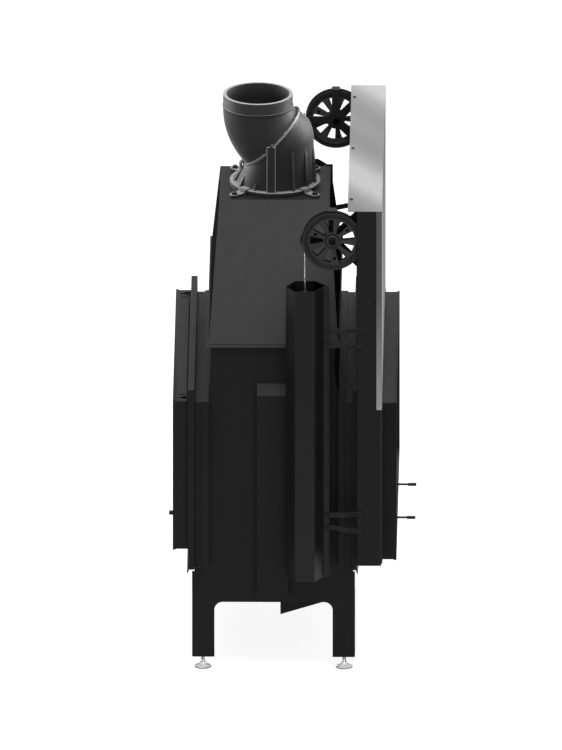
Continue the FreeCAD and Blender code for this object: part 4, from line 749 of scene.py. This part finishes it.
# The cover's sides facing along X take the darker brushed steel: painted dark reflection.
cover = dress("top_cover", "cover_steel", (RETURN_PAINTED_REFLECTION, COVER), COVER_EDGE)
for face in cover.data.polygons:
    face.material_index = 0 if abs(face.normal.x) > SIDEWAYS else 1
for node in ("door_handle", "rear_hinge_pins"):
    dress(node, "plain_steel", (STEEL,), ROD_EDGE)
for node in ("air_rod_left", "air_rod_right"):
    dress(node, "plain_steel", (DARK_STEEL,), ROD_EDGE)
for node in ("lift_door_glass", "rear_door_glass"):
    dress(node, "fire_glass", (GLASS,))
for node in ("hearth_slab", "side_liners", "baffle"):
    dress(node, "refractory", (BOARD,), BLOCK_EDGE)
dress("guide_blocks", "slide_block", (POLYMER,), BLOCK_EDGE)


# Smoke hood
RIM_HEIGHT = 0.0065
UPRIGHT = 0.5
FRONT_OR_REAR = 0.8


def smoke_hood():
    """Hood with a dull front and rear, whose rim edge is in a lighter tone than its sheet."""
    # Rounded edges keep the lighter edge tone: partly wear, partly painted highlight.
    piece = dress("smoke_hood", "black_steel", (PAINT, SLOPE_PAINT, RIM_PAINT, PAINT_EDGE_WEAR_AND_HIGHLIGHT))
    rim_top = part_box("smoke_hood")[0][2] + RIM_HEIGHT
    for face in piece.data.polygons:
        if face.center.z < rim_top and abs(face.normal.z) < UPRIGHT:
            face.material_index = 2
        elif abs(face.normal.y) > FRONT_OR_REAR:
            face.material_index = 1


smoke_hood()


# Cast flue
JOINT_CENTRE = Vector((0, 0.062, 1.456))
JOINT_AXIS = Vector((0, 1, 1)).normalized()
JOINT_RADIUS = 0.110
JOINT_RIM = 0.0045
JOINT_OVERHANG = 0.0005
UPWARD = 0.85


def cast_flue(node, edge, curved, prepare=None):
    """Casting with its upward ledges, its rounded edges and the rim of its turning joint in a lighter
    tone: a painted highlight where the light falls.
    """
    piece = dress(node, "cast_black", (CAST, CAST_HIGHLIGHT), edge, curved=curved, prepare=prepare)
    for face in piece.data.polygons:
        away = face.center - JOINT_CENTRE
        along = away.dot(JOINT_AXIS)
        radius = (away - JOINT_AXIS * along).length
        rim_painted_light = abs(along) < JOINT_RIM and radius > JOINT_RADIUS + JOINT_OVERHANG
        if rim_painted_light or face.normal.z > UPWARD:
            face.material_index = 1


CLAMP_OUTSIDE = 0.1205
CLAMP_BORDERS = (0.0514, 0.0726)
CUT_REACH = 1e-6


def clamp_painted_highlights(bm):
    """Paint the long edges of the two side clamps lighter: a painted highlight."""
    for place, outward in zip(CLAMP_BORDERS, (-1, 1)):
        near = [v for v in bm.verts if abs(v.co.x) > JOINT_RADIUS]
        sides = {face for vert in near for face in vert.link_faces}
        edges = {edge for face in sides for edge in face.edges}
        bmesh.ops.bisect_plane(
            bm, geom=near + list(edges) + list(sides), dist=CUT_REACH,
            plane_co=(0, place, 0), plane_no=(0, 1, 0),
        )
        for face in bm.faces:
            centre = face.calc_center_median()
            if abs(centre.x) > CLAMP_OUTSIDE and (centre.y - place) * outward > 0:
                face.material_index = 1


for node in ("flue_base", "flue_elbow"):
    cast_flue(node, CAST_EDGE_WIDTH, True)
cast_flue("flue_clamps", SHEET_EDGE, False, clamp_painted_highlights)


# Counterweight drive
WHEEL_EDGE = 0.0007
DISH_TILT = (0.75, 0.97)
DIMPLE_PLACE = (0.035, 0.07)
DIMPLE_AREA = 60e-6


def wheel(side):
    """Pulley wheel whose dish, dimples and walls are painted darker than its face: painted shade."""
    node = f"pulley_{side}"
    piece = dress(node, "cast_black", (WHEEL, WHEEL_DISH_SHADE, WHEEL_WALL_SHADE), WHEEL_EDGE)
    centre = centre_of(node)
    for face in piece.data.polygons:
        away = (face.center - centre).yz.length
        dimple = DIMPLE_PLACE[0] < away < DIMPLE_PLACE[1] and face.area < DIMPLE_AREA
        tilt = abs(face.normal.x)
        if tilt < DISH_TILT[0] or dimple:
            face.material_index = 2
        else:
            face.material_index = 1 if tilt < DISH_TILT[1] else 0


HUB_RING = (
    (0.0118, -0.0005), (0.0118, 0.0008), (0.0126, 0.0016),
    (0.0164, 0.0016), (0.0172, 0.0008), (0.0172, -0.0005),
)
HUB_TURNS = 48


def hub_ring(side):
    """Raised ring on the outer end of a wheel's hub."""
    low, high = corners_of(f"pulley_{side}")
    outward = -1 if side == "left" else 1
    face = centre_of(f"pulley_{side}")
    face.x = low.x if outward < 0 else high.x
    bm = bmesh.new()
    spin(bm, HUB_RING + HUB_RING[:1], HUB_TURNS, standing(face, (outward, 0, 0)))
    bmesh.ops.remove_doubles(bm, verts=bm.verts, dist=CUT_REACH)
    mesh = mesh_from(bm, f"hub_ring_{side}", (WHEEL,))
    new_piece(f"hub_ring_{side}", mesh, f"pulley_{side}", "cast_black")


AXLE_HEAD = 0.005
AXLE_RADIUS = 0.006
AXLE_NUT_BORE = 0.0061
AXLE_TURNS = 24


def axles():
    """Bolts through the wheels, with nuts."""
    bm = bmesh.new()
    for low, high in islands("pulley_axles"):
        outward = -1 if low.x < 0 else 1
        outer = low.x if outward < 0 else high.x
        length = high.x - low.x
        corner = (high.z - low.z) / 2
        end = Vector((outer, (low.y + high.y) / 2, (low.z + high.z) / 2))
        seat = end - Vector((outward * AXLE_HEAD, 0, 0))
        place = standing(seat, (outward, 0, 0))
        tip = AXLE_HEAD - length
        hex_head(bm, place, corner, AXLE_HEAD)
        spin(bm, [(0, 0), (AXLE_RADIUS, 0), (AXLE_RADIUS, tip), (0, tip)], AXLE_TURNS, place)
        hex_head(bm, place, corner, AXLE_HEAD, tip, AXLE_NUT_BORE)
    mesh = mesh_from(bm, "wheel_axles", (AXLE_STEEL,))
    new_piece("wheel_axles", mesh, "housing", "plain_steel", "pulley_axles")


ROPE_RADIUS = 0.002
ROPE_LAY = 0.016
ROPE_STEP = 0.0026
ROPE_STRANDS = 6
ROPE_SIDES = 5
ROPE_SMOOTH_ANGLE = 60
DOOR_ROPE_END = 0.430


def straight(start, end):
    """Evenly spaced points from one place to another."""
    count = max(2, round((end - start).length / ROPE_STEP))
    return [start.lerp(end, step / count) for step in range(count + 1)]


def rope_piece(name, points, *replaced):
    """Wire rope along a path, fixed to the housing."""
    bm = bmesh.new()
    stranded(bm, points, ROPE_RADIUS, ROPE_STRANDS, ROPE_LAY, ROPE_SIDES)
    mesh = mesh_from(bm, name, (ROPE_WIRE,), ROPE_SMOOTH_ANGLE)
    return new_piece(name, mesh, "housing", "plain_steel", *replaced)


def lift_rope(side):
    """Wire rope in two lengths: over the wheel into the tube, and down to the door carrier."""
    low, high = corners_of(f"lift_cable_{side}")
    centre = centre_of(f"pulley_{side}")
    pitch_radius = (high.y - low.y) / 2 - ROPE_RADIUS
    count = round(math.pi * pitch_radius / ROPE_STEP)
    over = []
    for step in range(count + 1):
        angle = math.pi * step / count
        over.append(centre + Vector((0, -math.cos(angle), math.sin(angle))) * pitch_radius)
    top, weight_top = over[0], over[-1]
    weight_end = weight_top.copy()
    weight_end.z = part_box(f"counterweight_{side}")[0][2]
    rope_piece(f"rope_over_{side}", over + straight(weight_top, weight_end)[1:], f"lift_cable_{side}")
    door_end = top.copy()
    door_end.z = DOOR_ROPE_END
    door_run = rope_piece(f"rope_door_{side}", straight(top, door_end))
    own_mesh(door_run)


for side in SIDES:
    wheel(side)
    hub_ring(side)
    lift_rope(side)
axles()


# Fasteners
FLUE_BOLT_HEIGHT = 0.007
LUG_WASHER = 0.0014
LUG_WASHER_SHARE = 1.18


def housing_screws():
    """Socket screws on the posts and the cover."""
    bm = bmesh.new()
    for low, high in islands("housing_screws"):
        spans = high - low
        thin = min(range(3), key=lambda axis: spans[axis])
        middle = (low + high) / 2
        direction = Vector((0, 0, 0))
        direction[thin] = -1 if thin == 0 and middle.x < 0 else 1
        seat = middle - direction * spans[thin] / 2
        socket_screw(bm, standing(seat, direction), max(spans) / 2, spans[thin])
    mesh = mesh_from(bm, "socket_screws", (SCREW_HEAD, SCREW_SOCKET_SHADE))
    new_piece("socket_screws", mesh, "housing", "plain_steel", "housing_screws")


def flue_bolts():
    """Hexagon bolts with washers on the flange's lugs."""
    bm = bmesh.new()
    for low, high in islands("flue_bolts"):
        corner = max(high.x - low.x, high.y - low.y) / 2
        middle = (low + high) / 2
        seat = standing((middle.x, middle.y, high.z - FLUE_BOLT_HEIGHT), (0, 0, 1))
        washer(bm, seat, corner * LUG_WASHER_SHARE, LUG_WASHER)
        hex_head(bm, seat, corner, FLUE_BOLT_HEIGHT - LUG_WASHER, LUG_WASHER)
    mesh = mesh_from(bm, "lug_bolts", (SCREW,))
    new_piece("lug_bolts", mesh, "housing", "plain_steel", "flue_bolts")


housing_screws()
flue_bolts()


# Levelling feet
FOOT_TOP = 0.015
FOOT_RIM = 0.003
FOOT_NECK = 0.008
FOOT_TURNS = 64
FOOT_BEVEL = 0.0006
RIM_BEVEL = (0.0008, 0.0005)
CONE_FOOT = (0.82, 0.0016)
CONE_MIDDLE = (0.55, 0.55)
NECK_FLARE = (0.0008, 0.78)
NECK_BEVEL = (0.0012, 0.001)
STUD_RADIUS = 0.005
THREAD_DEPTH = 0.0006
THREAD_PITCH = 0.0018
NUT_LOW = 0.031
NUT_HEIGHT = 0.008
NUT_CORNER = 0.009
DARK_RIM_SHARE = 0.94


def levelling_foot(name):
    """Coned disc with a ball neck, a threaded stud and a lock nut."""
    low, high = corners_of(name)
    radius = (high.x - low.x) / 2
    place = Matrix.Translation(((low.x + high.x) / 2, (low.y + high.y) / 2, 0))
    bm = bmesh.new()
    disc = [
        (0, 0),
        (radius - FOOT_BEVEL, 0),
        (radius, FOOT_BEVEL),
        (radius, FOOT_RIM - RIM_BEVEL[1]),
        (radius - RIM_BEVEL[0], FOOT_RIM),
        (radius * CONE_FOOT[0], FOOT_RIM + CONE_FOOT[1]),
        (radius * CONE_MIDDLE[0], FOOT_TOP * CONE_MIDDLE[1]),
        (FOOT_NECK + NECK_FLARE[0], FOOT_TOP * NECK_FLARE[1]),
        (FOOT_NECK, FOOT_TOP - NECK_BEVEL[1]),
        (FOOT_NECK - NECK_BEVEL[0], FOOT_TOP),
        (0, FOOT_TOP),
    ]
    spin(bm, disc, FOOT_TURNS, place)
    threaded(bm, place, STUD_RADIUS, THREAD_DEPTH, THREAD_PITCH, FOOT_TOP - NECK_BEVEL[1], high.z)
    hex_head(bm, place, NUT_CORNER, NUT_HEIGHT, NUT_LOW, STUD_RADIUS)
    mesh = mesh_from(bm, f"{name}_dressed", (BRIGHT, STEEL))
    # The disc's rim takes the darker steel of the stud and nut: a painted dark reflection round the rim.
    for face in mesh.polygons:
        rim_painted_light = (face.center - place.translation).xy.length > radius * DARK_RIM_SHARE
        face.material_index = 1 if rim_painted_light or face.center.z > FOOT_TOP else 0
    new_piece(f"{name}_dressed", mesh, name, "bright_metal", name)


for end in ("front", "rear"):
    for side in SIDES:
        levelling_foot(f"foot_{end}_{side}")


# Rope seals
SEAL_CORNER = 0.012
SEAL_STEP = 0.004
SEAL_STRANDS = 4
SEAL_LAY = 0.03
SEAL_SIDES = 6
CORNER_STEPS = 6


def seal_path(low, high, radius):
    """Rounded rectangle on the upright plane in the middle of a seal's box."""
    y = (low.y + high.y) / 2
    left, right = low.x + radius, high.x - radius
    bottom, top = low.z + radius, high.z - radius
    corners = [(right, bottom, -90), (right, top, 0), (left, top, 90), (left, bottom, 180)]
    outline = []
    for x, z, start in corners:
        across = -math.copysign(SEAL_CORNER, x)
        upward = SEAL_CORNER if z == bottom else -SEAL_CORNER
        middle = Vector((x + across, y, z + upward))
        for step in range(CORNER_STEPS + 1):
            angle = math.radians(start + 90 * step / CORNER_STEPS)
            outline.append(middle + Vector((math.cos(angle), 0, math.sin(angle))) * SEAL_CORNER)
    points = []
    for index, point in enumerate(outline):
        after = outline[(index + 1) % len(outline)]
        count = max(1, round((after - point).length / SEAL_STEP))
        points += [point.lerp(after, step / count) for step in range(count)]
    return points


def rope_seal(node, body):
    """Twisted rope in the place of a seal."""
    low, high = corners_of(node)
    radius = (high.y - low.y) / 2
    bm = bmesh.new()
    path = seal_path(low, high, radius)
    stranded(bm, path, radius, SEAL_STRANDS, SEAL_LAY, SEAL_SIDES, closed=True)
    mesh = mesh_from(bm, f"{node}_rope", (ROPE,), ROPE_SMOOTH_ANGLE)
    new_piece(f"{node}_rope", mesh, body, "rope_seal", node)


rope_seal("lift_door_seal", "housing")
rope_seal("rear_door_seal", "rear_door")


# Studio
FLOOR_HALF = 6.0
FLOOR_DROP = 0.0005
FLOOR_TONE = 0.8
FLOOR_ROUGHNESS = 0.9
FLOOR_GLOW = 0.86
CAMERA_SCALE = 2.145
CAMERA_AZIMUTH = -89.44
CAMERA_ELEVATION = 19.3
CAMERA_AIM = (0, 0.035, 0.733)
CAMERA_DISTANCE = 6


def soft_light(name, place, target, size, power):
    """Rectangular lamp at a place, turned towards a target."""
    light = bpy.data.lights.new(name, "AREA")
    light.shape = "RECTANGLE"
    light.size, light.size_y = size
    light.energy = power
    lamp = bpy.data.objects.new(name, light)
    bpy.context.scene.collection.objects.link(lamp)
    lamp.location = place
    lamp.rotation_mode = "QUATERNION"
    lamp.rotation_quaternion = (Vector(target) - Vector(place)).to_track_quat("-Z", "Y")
    return lamp


def only_on(lamps, beginnings, others=False):
    """Let lamps shine only on the pieces whose names begin so, or only on the others."""
    lit = bpy.data.collections.new(f"lit_by_{lamps[0].name}")
    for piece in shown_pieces():
        if piece.name.startswith(beginnings) != others:
            lit.objects.link(piece)
    for lamp in lamps:
        lamp.light_linking.receiver_collection = lit


def white_world(seen, front_side, level_side, rear_side):
    """White to the camera; as a light it is dimmer towards the front and dimmest towards the rear."""
    world = bpy.data.worlds.new("studio")
    bpy.context.scene.world = world
    world.use_nodes = True
    tree = world.node_tree
    back = tree.nodes["Background"]
    direction = tree.nodes.new("ShaderNodeTexCoord")
    axes = tree.nodes.new("ShaderNodeSeparateXYZ")
    tree.links.new(direction.outputs["Generated"], axes.inputs["Vector"])
    depth = tree.nodes.new("ShaderNodeMapRange")
    depth.inputs["From Min"].default_value = -1
    tree.links.new(axes.outputs["Y"], depth.inputs["Value"])
    cast = tree.nodes.new("ShaderNodeValToRGB")
    stops = cast.color_ramp.elements
    stops.new(0.5)
    for stop, (place, light) in zip(stops, ((0.0, front_side), (0.5, level_side), (1.0, rear_side))):
        stop.position = place
        stop.color = (light, light, light, 1)
    tree.links.new(depth.outputs["Result"], cast.inputs["Fac"])
    path = tree.nodes.new("ShaderNodeLightPath")
    choice = tree.nodes.new("ShaderNodeMix")
    choice.data_type = "RGBA"
    colors = [socket for socket in choice.inputs if socket.type == "RGBA"]
    colors[1].default_value = (seen, seen, seen, 1)
    tree.links.new(path.outputs["Is Camera Ray"], choice.inputs["Factor"])
    tree.links.new(cast.outputs["Color"], colors[0])
    mixed = [socket for socket in choice.outputs if socket.type == "RGBA"][0]
    tree.links.new(mixed, back.inputs["Color"])


def pale_floor():
    """Plain floor, lit from within just enough to stay pale in the shade."""
    mesh = bpy.data.meshes.new("floor")
    corners = [(FLOOR_HALF * x, FLOOR_HALF * y, 0) for x, y in ((-1, -1), (1, -1), (1, 1), (-1, 1))]
    mesh.from_pydata(corners, [], [(0, 1, 2, 3)])
    floor = bpy.data.objects.new("floor", mesh)
    bpy.context.scene.collection.objects.link(floor)
    floor.location.z = -FLOOR_DROP
    material = bpy.data.materials.new("floor_paper")
    material.use_nodes = True
    tree = material.node_tree
    main = tree.nodes["Principled BSDF"]
    main.inputs["Base Color"].default_value = (FLOOR_TONE, FLOOR_TONE, FLOOR_TONE, 1)
    main.inputs["Roughness"].default_value = FLOOR_ROUGHNESS
    main.inputs["Emission Color"].default_value = (1, 1, 1, 1)
    path = tree.nodes.new("ShaderNodeLightPath")
    level = tree.nodes.new("ShaderNodeMapRange")
    level.inputs["To Min"].default_value = 0.0
    level.inputs["To Max"].default_value = FLOOR_GLOW
    tree.links.new(path.outputs["Is Camera Ray"], level.inputs["Value"])
    tree.links.new(level.outputs["Result"], main.inputs["Emission Strength"])
    mesh.materials.append(material)
    floor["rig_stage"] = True


def side_camera():
    """Camera without perspective, on the left side and a little above."""
    camera = bpy.data.cameras.new("camera")
    camera.type = "ORTHO"
    camera.ortho_scale = CAMERA_SCALE
    eye = bpy.data.objects.new("camera", camera)
    bpy.context.scene.collection.objects.link(eye)
    azimuth = math.radians(CAMERA_AZIMUTH)
    elevation = math.radians(CAMERA_ELEVATION)
    level = math.cos(elevation)
    back = Vector((math.sin(azimuth) * level, -math.cos(azimuth) * level, math.sin(elevation)))
    eye.location = Vector(CAMERA_AIM) + back * CAMERA_DISTANCE
    eye.rotation_mode = "QUATERNION"
    eye.rotation_quaternion = (-back).to_track_quat("-Z", "Y")
    bpy.context.scene.camera = eye


SHINY = (
    "flue_", "lug_bolts", "top_cover", "foot_", "door_handle", "lift_door_glass", "rear_door_glass"
)
white_world(seen=1.0, front_side=0.3, level_side=0.36, rear_side=0.04)
pale_floor()
side_camera()
soft_light("top_light", (-0.6, 0.1, 3.4), (0, 0.05, 0.8), (3.0, 3.0), power=80)
soft_light("far_light", (3.4, -0.3, 1.9), (0, 0, 1.0), (2.5, 1.6), power=8)
rim_lights = [
    soft_light("rim_rear", (0.9, 2.0, 2.2), (0, 0.05, 1.45), (1.6, 1.8), power=95),
    soft_light("rim_front", (0.9, -1.9, 2.2), (0, 0.05, 1.45), (1.6, 1.8), power=90),
]
only_on(rim_lights, ("flue_", "lug_bolts"))
feet_lights = [
    soft_light("feet_light", (-1.6, 0.05, 0.7), (-0.43, 0.05, 0.02), (1.2, 0.6), power=30),
    soft_light("feet_light_right", (1.6, 0.05, 0.7), (0.43, 0.05, 0.02), (1.2, 0.6), power=30),
]
only_on(feet_lights, ("foot_",))
right_light = soft_light("right_light", (3.2, 0.5, 0.4), (0.4, 0.1, 0.7), (2.4, 0.6), power=30)
only_on([right_light], SHINY, others=True)
front_light = soft_light("front_light", (0.9, -3.2, 0.45), (0.2, -0.3, 0.6), (2.4, 0.6), power=40)
only_on([front_light], SHINY, others=True)
rear_light = soft_light("rear_light", (0.9, 3.2, 0.4), (0.2, 0.3, 0.7), (2.4, 0.6), power=60)
only_on([rear_light], (*SHINY, "counterweight_tube"), others=True)
bpy.context.scene.view_settings.view_transform = "Standard"
